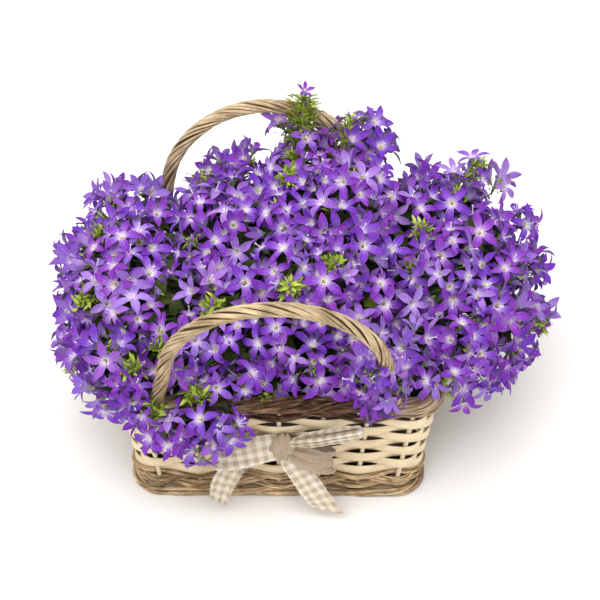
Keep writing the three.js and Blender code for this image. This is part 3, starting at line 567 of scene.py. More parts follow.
def roughRadius(steps, sides, radius, amount):
    ridges = 1 + amount * smoothNoise(sides, max(3, sides // 2))
    along = 1 + 0.5 * amount * smoothNoise(steps, 60)
    fine = rng.uniform(-0.35, 0.35, (steps, sides)) * amount
    return radius * (along[:, None] * ridges[None] + fine)


def makeTwigRing(name, node, z, row, material):
    made = Gathered()
    turns = rng.integers(*twigs["turns"])
    for strand in range(twigs["strands"]):
        wound = 2 * math.pi * (strand / twigs["strands"] + turns * ringStations / stakeCount)
        phase = wound + twigs["windUneven"] * smoothNoise(ringSteps, 23)
        reach = twigs["reach"] if row is None else weaveOffset(ringStations, row, twigs["weave"])
        spread = twigs["spread"] * (1 + twigs["spreadUneven"] * smoothNoise(ringSteps, 31))
        height = z + spread * np.sin(phase) * twigs["upright"]
        line, out = wallLine(ringStations, height, spread * np.cos(phase) + reach)
        radius = twigs["radius"] * rng.uniform(*twigs["radiusShares"])
        radius = roughRadius(ringSteps, twigs["sides"], radius, twigs["rough"])
        line[:, 2] = np.maximum(line[:, 2], twigs["offGround"] + radius.max(1))
        addRod(made, line, radius, twigs["sides"], hint=out, ring=True, seam=rng.uniform(0, mapSpan))
    finishPiece(made.make(name, [material]), "bark", node)


makeTwigRing("footTwig", "foot_twig", twigs["footZ"], None, footBark)
for i, z in enumerate(twigs["baseZ"]):
    makeTwigRing(f"baseTwig{i + 1}", f"base_twig_{i + 1}", z, i, footBark)
for i, z in enumerate(twigs["rimZ"]):
    makeTwigRing(f"rimTwig{i + 1}", f"rim_twig_{i + 1}", z, i, rimBark)

# Rim border: thin bark strands that wind round a flat oval, over a few inner ones
border = {
    "z": 127.0,
    "halfWidth": 10.0,
    "halfHeight": 4.6,
    "strands": 15,
    "radii": (1.15, 2.1),
    "innerStrands": 4,
    "innerRadii": (2.2, 2.7),
    "innerShare": 0.45,
    "sides": 6,
    "rough": 0.32,
    "turns": 5,
    "windUneven": 0.7,
    "shareUneven": 0.1,
}


def makeRimBorder():
    made = Gathered()
    for strand in range(border["strands"] + border["innerStrands"]):
        inner = strand >= border["strands"]
        radius = rng.uniform(*border["innerRadii" if inner else "radii"])
        phase = 2 * math.pi * (strand / border["strands"] + border["turns"] * ringStations / stakeCount)
        phase = phase + border["windUneven"] * smoothNoise(ringSteps, 17)
        share = border["innerShare"] if inner else 1 + border["shareUneven"] * smoothNoise(ringSteps, 29)
        offset = share * (border["halfWidth"] - radius) * np.cos(phase)
        height = border["z"] + share * (border["halfHeight"] - 0.6 * radius) * np.sin(phase)
        line, out = wallLine(ringStations, height, offset)
        rough = roughRadius(ringSteps, border["sides"], radius, border["rough"])
        addRod(made, line, rough, border["sides"], hint=out, ring=True, seam=rng.uniform(0, mapSpan))
    finishPiece(made.make("rimBorder", [rimBark]), "bark", "rim_border")


makeRimBorder()
print("bark twigs made")

# Rope handles, twisted from willow rods
handle = {
    "archRadius": 97,
    "archStep": 6,
    "legHeight": 43,
    "footHalfSpan": 105,
    "footLift": 3,
    "footDepth": 10,
    "ropeRadius": 6.7,
    "rodRadius": 1.5,
    "rodShares": (0.72, 1.15),
    "rodSides": 7,
    "rough": 0.12,
    "rods": 11,
    "turns": 3.8,
    "windUneven": 0.3,
    "coreRadius": 5.0,
    "coreSides": 8,
    "steps": 112,
    "roundings": 6,
    "front": {"side": -1, "shift": -3, "lean": 10.0},
    "back": {"side": 1, "shift": -11, "lean": 6.5},
}
willowLook = {
    "roughness": 0.6,
    "specular": 0.3,
    "followsSurface": True,
    "stretch": (0.05, 1.6, 1),
    "grain": (1.0, 5, 0.6),
    "colours": [(0.3, (0.2, 0.125, 0.06)), (0.47, (0.52, 0.4, 0.24)), (0.68, (0.82, 0.71, 0.5))],
    "patches": 34,
    "patchColours": [(0.35, (0.62, 0.57, 0.5)), (0.6, (1.05, 1.0, 0.95))],
    "bump": (0.6, 0.0007),
}
twistedWillow = grainMaterial("twistedWillow", willowLook)
grooveShade = grainMaterial("grooveShade", woodLook((0.03, 0.018, 0.01), (0.09, 0.055, 0.03), 0.9))


def handleLine(which, steps):
    lean = math.radians(which["lean"])
    radius, leg, span, lift = (handle[k] for k in ("archRadius", "legHeight", "footHalfSpan", "footLift"))
    turns = np.radians(np.arange(180, -1, -handle["archStep"]))
    arch = [(radius * math.cos(t), leg + radius * math.sin(t)) for t in turns]
    end = lift - handle["footDepth"]
    flat = np.array([(-span, end), (-span, lift), *arch, (span, lift), (span, end)])
    length = runLength(flat)
    where = np.linspace(0, length[-1], steps)
    across, up = (np.interp(where, length, flat[:, i]) for i in range(2))
    for _ in range(handle["roundings"]):
        rounded(across)
        rounded(up)
    y = which["side"] * (basket["rimHalf"][1] + (up - lift) * math.sin(lean))
    return np.stack([which["shift"] + across, y, basket["height"] + up * math.cos(lean)], 1)


def makeHandle(which, name, node):
    made = Gathered()
    steps, sides = handle["steps"], handle["rodSides"]
    centre = handleLine(which, steps)
    lean = math.radians(which["lean"])
    facing = np.tile([0, math.cos(lean), -which["side"] * math.sin(lean)], (steps, 1))
    _, side, up = frames(centre, facing, False)
    share = np.linspace(0, 1, steps)
    for rod in range(handle["rods"]):
        radius = handle["rodRadius"] * rng.uniform(*handle["rodShares"])
        phase = 2 * math.pi * (rod / handle["rods"] + handle["turns"] * share)
        phase = phase + handle["windUneven"] * smoothNoise(steps, 7, False)
        away = (handle["ropeRadius"] - radius) * (1 - 0.04 * (1 + smoothNoise(steps, 13, False)))
        line = centre + side * (away * np.cos(phase))[:, None] + up * (away * np.sin(phase))[:, None]
        rough = roughRadius(steps, sides, radius, handle["rough"])
        addRod(made, line, rough, sides, hint=facing, seam=rng.uniform(0, mapSpan))
    addRod(made, centre, np.full(steps, handle["coreRadius"]), handle["coreSides"], hint=facing, slot=1)
    finishPiece(made.make(name, [twistedWillow, grooveShade]), "willow", node)


makeHandle(handle["front"], "frontHandle", "handle_front")
makeHandle(handle["back"], "backHandle", "handle_back")
print("handles made")

# Liner: a thin dark film inside the wall, with a creased upper edge
liner = {
    "inset": 10.2,
    "thickness": 1.2,
    "low": 5.4,
    "top": 121.0,
    "footInset": 0.6,
    "footHeight": 40,
    "hem": 12,
    "crease": 0.5,
    "edgeRise": 0.8,
    "creases": 40,
    "steps": 156,
}
filmLook = {
    "roughness": 0.4,
    "specular": 0.4,
    "grain": (60, 3),
    "colours": [(0.3, (0.02, 0.02, 0.018)), (0.7, (0.05, 0.048, 0.042))],
    "bump": (0.5, 0.002),
}


def insideRing(z, inset, count):
    s = np.linspace(0, stakeCount, count, endpoint=False)
    ring, _ = wallLine(s, z, -inset)
    return ring


def makeLiner():
    made = Gathered()
    fold = liner["crease"] * smoothNoise(liner["steps"], liner["creases"])
    low, top, thickness = liner["low"], liner["top"], liner["thickness"]
    outside = [(low, liner["footInset"]), (low + liner["footHeight"], 0), (top - liner["hem"], 0), (top, 0)]
    inside = [(max(z, low + thickness), extra + thickness) for z, extra in reversed(outside)]
    rings = []
    for z, extra in outside + inside:
        ring = insideRing(z, liner["inset"] + extra + liner["crease"] * np.abs(fold), liner["steps"])
        if z == top:
            ring[:, 2] += liner["edgeRise"] * (fold - liner["crease"])
        rings.append(ring)
    made.add(*closedStack(rings, (0, 0, low), (0, 0, low + thickness)))
    finishPiece(made.make("pottingLiner", [grainMaterial("darkFilm", filmLook)]), "liner", "liner")


# Soil: a filling with a low dome, an uneven top and crumbs
soil = {
    "bottom": 7.0,
    "top": 106.0,
    "offLiner": 0.5,
    "domeHeight": 5,
    "uneven": (-1.6, 0.2),
    "rings": 12,
    "ringShares": (0.97, 0.04),
    "steps": 104,
    "crumbs": 260,
    "crumbHalfSpan": (118, 92),
    "crumbRadii": (1.2, 4.2),
    "cornerShares": (0.8, 1.2),
    "crumbSunk": 0.6,
}
soilLook = {
    "roughness": 1.0,
    "specular": 0.1,
    "grain": (260, 5, 0.7),
    "colours": [(0.3, (0.012, 0.008, 0.005)), (0.6, (0.06, 0.038, 0.022)), (0.8, (0.16, 0.11, 0.07))],
    "bump": (1.0, 0.002),
}


def makeSoil():
    made = Gathered()
    count, top, dome = soil["steps"], soil["top"], soil["domeHeight"]
    inset = liner["inset"] + liner["thickness"] + soil["offLiner"]
    rings = [insideRing(soil["bottom"], inset, count), insideRing(top - dome, inset, count)]
    for share in np.linspace(*soil["ringShares"], soil["rings"]):
        ring = insideRing(top - dome, inset, count) * [share, share, 1]
        ring[:, 2] = top - dome * share**6 + rng.uniform(*soil["uneven"], count)
        rings.append(ring)
    made.add(*closedStack(rings, (0, 0, soil["bottom"]), (0, 0, top)))
    # each crumb has six corners and eight faces
    corners = np.array([(1, 0, 0), (-1, 0, 0), (0, 1, 0), (0, -1, 0), (0, 0, 1), (0, 0, -1)], float)
    square = np.array([0, 2, 1, 3])
    faces = np.concatenate([fan(4, square), fan(5, square, flipped=True)])
    reachX, reachY = soil["crumbHalfSpan"]
    for _ in range(soil["crumbs"]):
        x, y = rng.uniform(-reachX, reachX), rng.uniform(-reachY, reachY)
        radii = rng.uniform(*soil["crumbRadii"], 3)
        crumb = corners * radii * rng.uniform(*soil["cornerShares"], (6, 1))
        made.add(crumb + [x, y, top - soil["crumbSunk"]], faces)
    piece = made.make("pottingSoil", [grainMaterial("pottingSoil", soilLook)], smooth=False)
    finishPiece(piece, "soil", "soil")


makeLiner()
makeSoil()
print("liner and soil made")

# The mound that the flowers cover: lobes with a centre and three radii
mound = {
    "heart": (12, 15, 118),
    "lobes": [
        ((-126, 18, 120), (80, 110, 86)),
        ((-42, 37, 136), (85, 110, 88)),
        ((42, 44, 148), (92, 117, 110)),
        ((150, 32, 124), (88, 114, 100)),
        ((-75, -106, 110), (62, 44, 36)),
        ((8, -52, 136), (138, 56, 44)),
        ((86, -108, 160), (25, 24, 31)),
        ((-116, -84, 141), (48, 44, 27)),
        ((116, -64, 144), (44, 42, 28)),
    ],
    "blend": 7,
    "lowest": 92,
    "lowestOverRim": 134,
    "rimMargin": 22,
    "lookDown": 1.5,  # the ways out of the heart go this far down from straight up; 2 is a whole ball
}
heart = np.array(mound["heart"], float)


def moundSurface(ways):
    # where rays from the heart leave the lobes, with the valleys between lobes filled smoothly
    power = mound["blend"]
    reach = np.zeros(len(ways))
    normals = np.zeros_like(ways)
    for centre, radii in mound["lobes"]:
        scale = 1 / np.array(radii, float)
        f = (heart - np.array(centre)) * scale
        w = ways * scale
        a, b, c = np.sum(w * w, -1), np.sum(f * w, -1), np.sum(f * f, -1) - 1
        inside = b * b - a * c
        far = np.where(inside > 0, np.maximum((-b + np.sqrt(np.maximum(inside, 0))) / a, 0), 0)
        out = unit((heart + ways * far[:, None] - np.array(centre)) * scale * scale)
        reach += far**power
        normals += out * (far**power)[:, None]
    return heart + ways * (reach ** (1 / power))[:, None], unit(normals)


def insideRim(points, margin):
    return np.all(np.abs(points[:, :2]) < np.array(basket["rimHalf"]) + margin, axis=1)


def overRim(place):
    return not insideRim(place[None], -6)[0]


def spreadPlaces(spacing, tries, turnShift=0.0):
    # a golden spiral of ways, thinned until its points are a spacing apart on the mound
    i = np.arange(tries)
    up = 1 - mound["lookDown"] * (i + 0.5) / tries
    flat = np.sqrt(1 - up * up)
    turn = math.pi * (3 - math.sqrt(5)) * i + turnShift
    ways = np.stack([flat * np.cos(turn), flat * np.sin(turn), up], 1)
    points, normals = moundSurface(ways)
    lowest = np.where(insideRim(points, mound["rimMargin"]), mound["lowestOverRim"], mound["lowest"])
    chosen = []
    for k in rng.permutation(np.flatnonzero(points[:, 2] > lowest)):
        if all(np.sum((points[k] - points[m]) ** 2) > spacing**2 for m in chosen):
            chosen.append(k)
    return points[chosen], normals[chosen]


# Star flowers: five pointed lobes fused in a short funnel, a pale style, a green cup and a stalk
bloom = {
    "radius": 19.8,
    "sizes": (0.76, 1.1),
    "lobes": 5,
    "lobeHalfWidth": 3.9,
    "thickness": 0.3,
    "crease": 0.36,
    "curl": (15, 70),
    "turnJitter": 0.08,
    "tilt": 0.2,
    "bend": 0.14,
    "twist": 0.6,
    "stretch": (0.9, 1.07),
    "funnelRadius": 3.6,
    "funnelDepth": 4.8,
    "funnelSlope": 62,
    "funnelEnd": 0.25,
    "fusedHalf": 0.727,  # half of a lobe's root, as a share of its distance from the middle
    "stalkRadius": 0.55,
    "openings": ((5, 32), (32, 58), (58, 80)),
    "openingShares": [0.64, 0.24, 0.12],
    "outerSpacing": 15.3,
    "innerSpacing": 20.5,
    "innerDepth": 14.0,
    "clearOfHandle": 13.0,
    "clearOfCrown": 11.0,
}
style = {"length": 13.5, "shares": (0.55, 1.1), "lean": 2.4, "radii": (0.6, 0.34, 0.44), "sides": 4}
stigma = {"branches": 3, "reach": 1.1, "tip": (1.7, -0.6), "halfWidth": 0.45, "root": -0.3, "thickness": 0.4}
sepal = {"root": (1.2, -0.8), "middle": (2.6, 1.6), "halfWidth": 0.8, "tip": (5.2, 3.6), "thickness": 0.5}
cup = {"heights": (-3.4, -1.8, 0.8), "radii": (0.7, 1.6, 1.35), "stalkFrom": 3.0}
lobeStations = np.array([0.0, 0.13, 0.25, 0.4, 0.55, 0.7, 0.86, 1.0])
lobeWidths = np.array([0.28, 0.55, 0.7, 0.88, 1.0, 0.9, 0.5, 0.02])
plainStations = [0, 2, 4, 7]  # those that the simpler flowers inside the mound keep
petalLook = {
    "blue": [
        (0.0, (0.8, 0.76, 0.45)),
        (0.12, (0.9, 0.84, 0.76)),
        (0.22, (0.6, 0.5, 0.74)),
        (0.36, (0.27, 0.13, 0.57)),
        (0.6, (0.165, 0.048, 0.48)),
        (1.0, (0.14, 0.028, 0.4)),
    ],
    "purple": [
        (0.0, (0.82, 0.76, 0.45)),
        (0.12, (0.92, 0.84, 0.76)),
        (0.22, (0.62, 0.48, 0.72)),
        (0.36, (0.33, 0.13, 0.54)),
        (0.6, (0.24, 0.048, 0.44)),
        (1.0, (0.22, 0.026, 0.37)),
    ],
    "ribToEdge": [
        (0.0, (1.25, 1.5, 1.12)),
        (0.16, (0.95, 0.92, 0.97)),
        (0.7, (0.92, 0.85, 0.96)),
        (1.0, (1.1, 1.2, 1.05)),
    ],
    "outside": [(0.0, (0.36, 0.38, 0.38)), (0.3, (0.42, 0.28, 0.66)), (1.0, (0.3, 0.12, 0.56))],
    # painted light: the paler lilac that a share of the flowers takes, for petals lit through from behind
    "lilac": (0.56, 0.42, 0.8),
    "lilacSpan": [(0.6, (0, 0, 0)), (1.0, (1, 1, 1))],
    "lilacShare": 0.4,
    "tintTurns": 7.3,
    "spots": 420,
    "spotColours": [(0.3, (0.8, 0.74, 0.85)), (0.7, (1.15, 1.18, 1.1))],
    "ribs": 14.0,
    "bump": (0.15, 0.0002),
}
greenLook = {
    "dark": (0.016, 0.034, 0.01),
    "fresh": (0.46, 0.58, 0.085),
    "ribToEdge": [(0.0, (1.35, 1.3, 1.1)), (0.12, (1.0, 1.0, 1.0)), (1.0, (0.9, 0.92, 0.8))],
    "patches": 160,
    "patchColours": [(0.3, (0.75, 0.78, 0.7)), (0.7, (1.2, 1.15, 1.1))],
    "bump": (0.3, 0.0008),
}
styleLook = {
    "roughness": 0.5,
    "specular": 0.3,
    "grain": (300, 2),
    "colours": [(0.3, (0.62, 0.56, 0.74)), (0.6, (0.92, 0.9, 0.88))],
}


def readTone(tree):
    # the tone holds how far along and how far across a blade a point lies, whether it is the back, and a tint
    tone = addNode(tree, "ShaderNodeAttribute", attribute_name="tone")
    split = addNode(tree, "ShaderNodeSeparateColor", Color=tone.outputs["Color"])
    return (*(split.outputs[i] for i in range(3)), tone.outputs["Alpha"])


def petalMaterial():
    look = petalLook
    material, tree, shader = newMaterial("violetPetal", 0.5, 0.12)
    along, across, back, tint = readTone(tree)
    inside = mixColours(tree, tint, ramp(tree, along, look["blue"]), ramp(tree, along, look["purple"]))
    inside = shaded(tree, inside, ramp(tree, across, look["ribToEdge"]))
    colour = mixColours(tree, back, inside, ramp(tree, along, look["outside"]))
    # painted light: some flowers are painted paler lilac, standing for petals lit through from behind
    cycle = maths(tree, "FRACT", maths(tree, "MULTIPLY", tint, look["tintTurns"]))
    paintedBacklight = maths(tree, "MULTIPLY", ramp(tree, cycle, look["lilacSpan"]), look["lilacShare"])
    colour = mixColours(tree, paintedBacklight, colour, look["lilac"])
    spots = noise(tree, objectPlace(tree), look["spots"])
    setColour(tree, shader, shaded(tree, colour, ramp(tree, spots, look["spotColours"])))
    addBump(tree, shader, maths(tree, "SINE", maths(tree, "MULTIPLY", across, look["ribs"])), *look["bump"])
    return material


def greenMaterial():
    # the tint goes from old, dark leaves to fresh ones, and on the leaves deep in the mound it also carries
    # painted shade
    look = greenLook
    material, tree, shader = newMaterial("plantGreen", 0.5, 0.35)
    _, across, _, tint = readTone(tree)
    colour = mixColours(tree, tint, look["dark"], look["fresh"])
    colour = shaded(tree, colour, ramp(tree, across, look["ribToEdge"]))
    patches = noise(tree, objectPlace(tree), look["patches"])
    setColour(tree, shader, shaded(tree, colour, ramp(tree, patches, look["patchColours"])))
    addBump(tree, shader, patches, *look["bump"])
    return material


plantGreen = greenMaterial()
flowerMaterials = [petalMaterial(), plantGreen, grainMaterial("paleStyle", styleLook)]
petalSlot, greenSlot, styleSlot = range(3)


def greenTone(fresh, along=0.5):
    return [along, 0.5, 0, fresh]


def turnedFrame(axis, spin):
    side = unit(np.cross(axis, [0.0, 0.0, 1.0])) if abs(axis[2]) < 0.98 else np.array([1.0, 0.0, 0.0])
    other = np.cross(axis, side)
    turned = side * math.cos(spin) + other * math.sin(spin)
    return np.stack([turned, other * math.cos(spin) - side * math.sin(spin), axis])


def addBlades(gathered, front, normals, thickness, along, across, tint, slot, backColumns=slice(None)):
    # front: blades by stations by columns; the back face lies a thickness behind it
    blades, stations, columns, _ = front.shape
    edge = 1 - 0.85 * np.abs(np.linspace(-1, 1, columns)) ** 3
    back = front - normals * (thickness * edge)[None, None, :, None]
    for points, isBack, kept in ((front, 0, slice(None)), (back, 1, backColumns)):
        points = points[:, :, kept]
        wide = points.shape[2]
        tone = np.zeros((blades, stations, wide, 4))
        tone[..., 0] = along[None, :, None]
        tone[..., 1] = across[kept][None, None]
        tone[..., 2] = isBack
        tone[..., 3] = tint
        starts = stations * wide * np.arange(blades)
        quads = (gridQuads(stations, wide)[None] + starts[:, None, None]).reshape(-1, 4)
        quads = quads[:, ::-1] if isBack else quads
        gathered.add(points.reshape(-1, 3), quads, tone=tone.reshape(-1, 4), slot=slot)


def addDiamonds(gathered, corners, depth, slot, tone=(0, 0, 0, 0)):
    # small leaf shapes with four corners each, and a keel that lies a depth below
    n = len(corners)
    keels = corners.mean(1, keepdims=True) - depth
    points = np.concatenate([corners, keels], 1)
    faces = np.array([[0, 1, 2, 3], [1, 0, 4, 4], [2, 1, 4, 4], [3, 2, 4, 4], [0, 3, 4, 4]])
    quads = (faces[None] + 5 * np.arange(n)[:, None, None]).reshape(-1, 4)
    gathered.add(points.reshape(-1, 3), quads, tone=np.tile(tone, (5 * n, 1)), slot=slot)


def lobeCurve(t, opening, curl, length):
    # how far out and how high a lobe runs when its angle falls from opening by curl
    parts = 24
    shares = np.linspace(0, 1, parts + 1)
    angle = np.radians(opening - curl * shares)[1:]
    out = np.concatenate(([0], np.cumsum(np.cos(angle)) / parts))
    high = np.concatenate(([0], np.cumsum(np.sin(angle)) / parts))
    return np.interp(t, shares, out) * length, np.interp(t, shares, high) * length


def addLobes(gathered, place, local, size, opening, tint, fine):
    kept = slice(None) if fine else plainStations
    stations, widths = lobeStations[kept], lobeWidths[kept]
    w = np.linspace(-1, 1, 5 if fine else 3)
    lobes, end = bloom["lobes"], bloom["funnelEnd"]
    fuse = bloom["funnelRadius"] * size
    length = (bloom["radius"] - bloom["funnelRadius"]) * size
    curl = rng.uniform(*bloom["curl"])
    t = np.clip((stations - end) / (1 - end), 0, 1)
    funnel = np.clip(stations / end, 0, 1)
    reach, rise = lobeCurve(t, opening, curl, length)
    radius = fuse * (0.3 + 0.7 * funnel**1.2) + reach
    height = -bloom["funnelDepth"] * size * (1 - funnel) ** 1.1 + rise
    slope = np.where(stations < end, math.radians(bloom["funnelSlope"]), np.radians(opening - curl * t))
    half = np.where(stations <= end, bloom["fusedHalf"] * radius, widths * bloom["lobeHalfWidth"] * size)
    jitter = bloom["turnJitter"]
    phi = 2 * math.pi * np.arange(lobes) / lobes + rng.uniform(-jitter, jitter, lobes)
    tilt, bend, twist = (rng.uniform(-bloom[k], bloom[k], lobes) for k in ("tilt", "bend", "twist"))
    stretch = rng.uniform(*bloom["stretch"], lobes)
    out, side = around(phi)
    up = np.array([0.0, 0.0, 1.0])
    r = fuse + (radius[None] - fuse) * np.where(t[None] > 0, stretch[:, None], 1)
    z = height[None] + t[None] * length * tilt[:, None]
    crease = bloom["crease"] * np.abs(w)[None] * half[:, None] * np.where(t > 0, 1, 0.3)[:, None]
    roll = twist[:, None, None] * t[None, :, None] * w[None, None] * half[None, :, None] * 0.6
    sideways = w[None, None] * half[None, :, None] + (bend[:, None] * length * t[None] ** 2)[:, :, None]
    points = (
        out[:, None, None] * r[:, :, None, None]
        + side[:, None, None] * sideways[..., None]
        + up * (z[:, :, None] + crease[None] + roll)[..., None]
    )
    normal = up * np.cos(slope)[None, :, None, None] - out[:, None, None] * np.sin(slope)[None, :, None, None]
    normal = np.broadcast_to(normal, points.shape) @ local
    back = slice(None, None, 2) if fine else slice(None)
    points = points @ local + place
    addBlades(gathered, points, normal, bloom["thickness"], stations, np.abs(w), tint, petalSlot, back)
    return phi


def addStyle(gathered, place, axis, local, base, size):
    # a pale style that ends in small curled branches
    lean = rng.uniform(-style["lean"], style["lean"], 2)
    end = style["length"] * size * rng.uniform(*style["shares"]) + base
    tip = np.array([*lean, end])
    line = np.array([[0, 0, base], [*(0.3 * lean), base / 3], tip])
    addRod(gathered, line @ local + place, np.array(style["radii"]), style["sides"], slot=styleSlot)
    count = stigma["branches"]
    out, side = around(2 * math.pi * (np.arange(count) / count + rng.random()))
    root = np.tile(tip + [0, 0, stigma["root"]], (count, 1))
    middle, half = tip + out * stigma["reach"], side * stigma["halfWidth"]
    far, fall = stigma["tip"]
    corners = np.stack([root, middle + half, tip + out * far + [0, 0, fall], middle - half], 1)
    addDiamonds(gathered, corners @ local + place, stigma["thickness"] * axis, styleSlot)


def addSepals(gathered, place, axis, local, base, size, turn, tone):
    out, side = around(turn)
    up = np.array([0.0, 0.0, 1.0])
    root, middle, tip = (out * sepal[k][0] + up * (base + sepal[k][1]) for k in ("root", "middle", "tip"))
    half = side * sepal["halfWidth"]
    corners = np.stack([root, middle + half, tip, middle - half], 1) * size
    addDiamonds(gathered, corners @ local + place, sepal["thickness"] * axis, greenSlot, tone)


def addBloom(gathered, place, axis, size, opening, tint, fine=True):
    # returns where the flower's stalk begins
    local = turnedFrame(axis, rng.uniform(0, 2 * math.pi))
    phi = addLobes(gathered, place, local, size, opening, tint, fine)
    base = -bloom["funnelDepth"] * size
    tone = greenTone(rng.uniform(0.35, 0.9), 0.3)
    if fine:
        addStyle(gathered, place, axis, local, base, size)
        addSepals(gathered, place, axis, local, base, size, phi + math.pi / bloom["lobes"], tone)
    line = np.array([[0, 0, base + z] for z in cup["heights"]]) @ local + place
    addRod(gathered, line, np.array(cup["radii"]) * size, 5 if fine else 4, slot=greenSlot, tone=tone)
    return place + axis * (base - cup["stalkFrom"])


def pickOpening():
    # wide open stars, half open ones and a few that still point forwards
    low, high = bloom["openings"][rng.choice(3, p=bloom["openingShares"])]
    return rng.uniform(low, high)


def bezier(a, b, c, steps):
    t = np.linspace(0, 1, steps)[:, None]
    return a * (1 - t) ** 2 + 2 * b * t * (1 - t) + c * t**2


def addStalk(gathered, start, axis, end, isOver, steps=6, sides=4, radius=bloom["stalkRadius"], fresh=0.12):
    # a stalk over the rim is bent up, so that it passes above the border
    length = np.linalg.norm(end - start)
    control = start - axis * 0.4 * length
    if isOver:
        control = (start + end) / 2
        control[2] = max(control[2], mound["lowestOverRim"] + rng.uniform(8, 18))
    line = bezier(start, control, end, steps)
    thick = np.linspace(0.8, 1.5, steps) * radius
    addRod(gathered, line, thick, sides, slot=greenSlot, tone=greenTone(fresh))
    return line


# Leaves: ovate with toothed edges, on thin leaf stalks
leaf = {
    "length": 23,
    "halfWidth": 9.0,
    "thickness": 0.35,
    "fold": 0.32,
    "wave": 0.07,
    "droop": (0.1, 0.5),
    "stalkRadius": 0.5,
}
leafStations = np.array([0.0, 0.14, 0.24, 0.42, 0.54, 0.72, 0.84, 1.0])
leafWidths = np.array([0.3, 0.92, 0.84, 1.0, 0.8, 0.7, 0.44, 0.03])
smallLeafStations = [0, 1, 3, 5, 7]


def addLeaf(gathered, base, way, up, size, fresh, narrow=1.0, slot=greenSlot, small=False):
    way = unit(way)
    side = unit(np.cross(way, up))
    top = np.cross(side, way)
    kept = smallLeafStations if small else slice(None)
    t, widths = leafStations[kept], leafWidths[kept]
    w = np.linspace(-1, 1, 3)
    length = leaf["length"] * size
    half = leaf["halfWidth"] * size * narrow * widths
    droop = rng.uniform(*leaf["droop"]) * length * t**2
    wave = leaf["wave"] * length * np.sin(9 * t + rng.uniform(0, 6))
    rise = leaf["fold"] * np.abs(w)[None] * half[:, None] + wave[:, None] * (w**2)[None] - droop[:, None]
    points = (
        base
        + way * (length * t)[:, None, None]
        + side * (w[None] * half[:, None])[..., None]
        + top * rise[..., None]
    )
    normal = np.broadcast_to(top, points.shape)
    addBlades(gathered, points[None], normal[None], leaf["thickness"], t, np.abs(w), fresh, slot)


# Buds: violet ones in a green cup, and green ones
bud = {
    "stations": (0, 0.3, 0.62, 0.9, 1.0),
    "violetRadii": (0.6, 1.3, 1.55, 0.9, 0.15),
    "violetSides": 5,
    "cupRadii": (0.9, 1.6),
    "cupDrop": 0.4,
    "greenRadii": (0.5, 1.1, 1.0, 0.5, 0.1),
    "greenSides": 4,
}


def addBud(gathered, base, way, length, violet):
    way = unit(way)
    line = base + way * (np.array(bud["stations"]) * length)[:, None]
    if violet:
        sides = bud["violetSides"]
        tone = [rng.uniform(0.35, 0.9), 0.5, 0.4, rng.random()]
        addRod(gathered, line, np.array(bud["violetRadii"]), sides, slot=petalSlot, tone=tone)
        cupLine = line[:2] - way * bud["cupDrop"]
        addRod(gathered, cupLine, np.array(bud["cupRadii"]), sides, slot=greenSlot, tone=greenTone(0.8, 0.3))
    else:
        tone = greenTone(rng.uniform(0.6, 1), 0.3)
        addRod(gathered, line, np.array(bud["greenRadii"]), bud["greenSides"], slot=greenSlot, tone=tone)


# Tufts: crowns of small fresh leaves with buds between them
tuft = {
    "leafAim": 0.62,
    "leafSpread": 2.6,
    "leafStart": (0, 6),
    "leafSizes": (0.22, 0.4),
    "leafFresh": (0.3, 1.0),
    "leafNarrow": 0.46,
    "budAim": 0.45,
    "budStart": (1, 5),
    "budLengths": (7, 11),
}


def addTuft(gathered, base, way, size, leaves, buds=8, violetShare=0.4):
    way = unit(way)
    for _ in range(leaves):
        aim = unit(way + rng.normal(0, tuft["leafAim"], 3))
        start = base + rng.normal(0, tuft["leafSpread"], 3) * size + aim * rng.uniform(*tuft["leafStart"])
        fresh = rng.uniform(*tuft["leafFresh"])
        up = way + rng.normal(0, 0.3, 3)
        leafSize = size * rng.uniform(*tuft["leafSizes"])
        addLeaf(gathered, start, aim, up, leafSize, fresh, tuft["leafNarrow"], small=True)
    for _ in range(buds):
        aim = unit(way + rng.normal(0, tuft["budAim"], 3))
        start = base + aim * rng.uniform(*tuft["budStart"])
        length = size * rng.uniform(*tuft["budLengths"])
        addBud(gathered, start, aim, length, rng.random() < violetShare)


# Sprays: each flower grows from the head of the spray whose flowers are nearest
spray = {"headDepth": 0.52, "offRim": 18, "overMargin": -4, "liftOver": 24, "crownStalk": 0.9}
trunk = {"footShare": 0.55, "footSunk": 6, "bow": 12, "radii": (2.2, 1.3), "steps": 9, "sides": 6}
sprayNodes = sorted(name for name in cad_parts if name.startswith("bloom_spray_"))


def nodeMiddle(node):
    low, high = (np.array(list(corner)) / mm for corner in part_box(node))
    return (low + high) / 2


def sprayHeads():
    # where each spray's flowers meet the mound, and where its stalks start, deeper in
    middles = np.array([nodeMiddle(node) for node in sprayNodes])
    surface, _ = moundSurface(unit(middles - heart))
    heads = heart + spray["headDepth"] * (surface - heart)
    limit = np.array(basket["rimHalf"]) - spray["offRim"]
    outside = ~insideRim(surface, spray["overMargin"])
    heads[outside, 2] = np.maximum(heads[outside, 2], basket["height"] + spray["liftOver"])
    heads[:, :2] = np.clip(heads[:, :2], -limit, limit)
    return surface, heads


spraySurface, sprayHeadPlaces = sprayHeads()
sprays = [Gathered() for _ in sprayNodes]
handleLines = np.concatenate([handleLine(handle["front"], 90), handleLine(handle["back"], 90)])


def nearest(places, place):
    return int(np.argmin(np.sum((places - place) ** 2, 1)))


def isNear(places, place, distance):
    return np.min(np.sum((places - place) ** 2, 1)) < distance**2


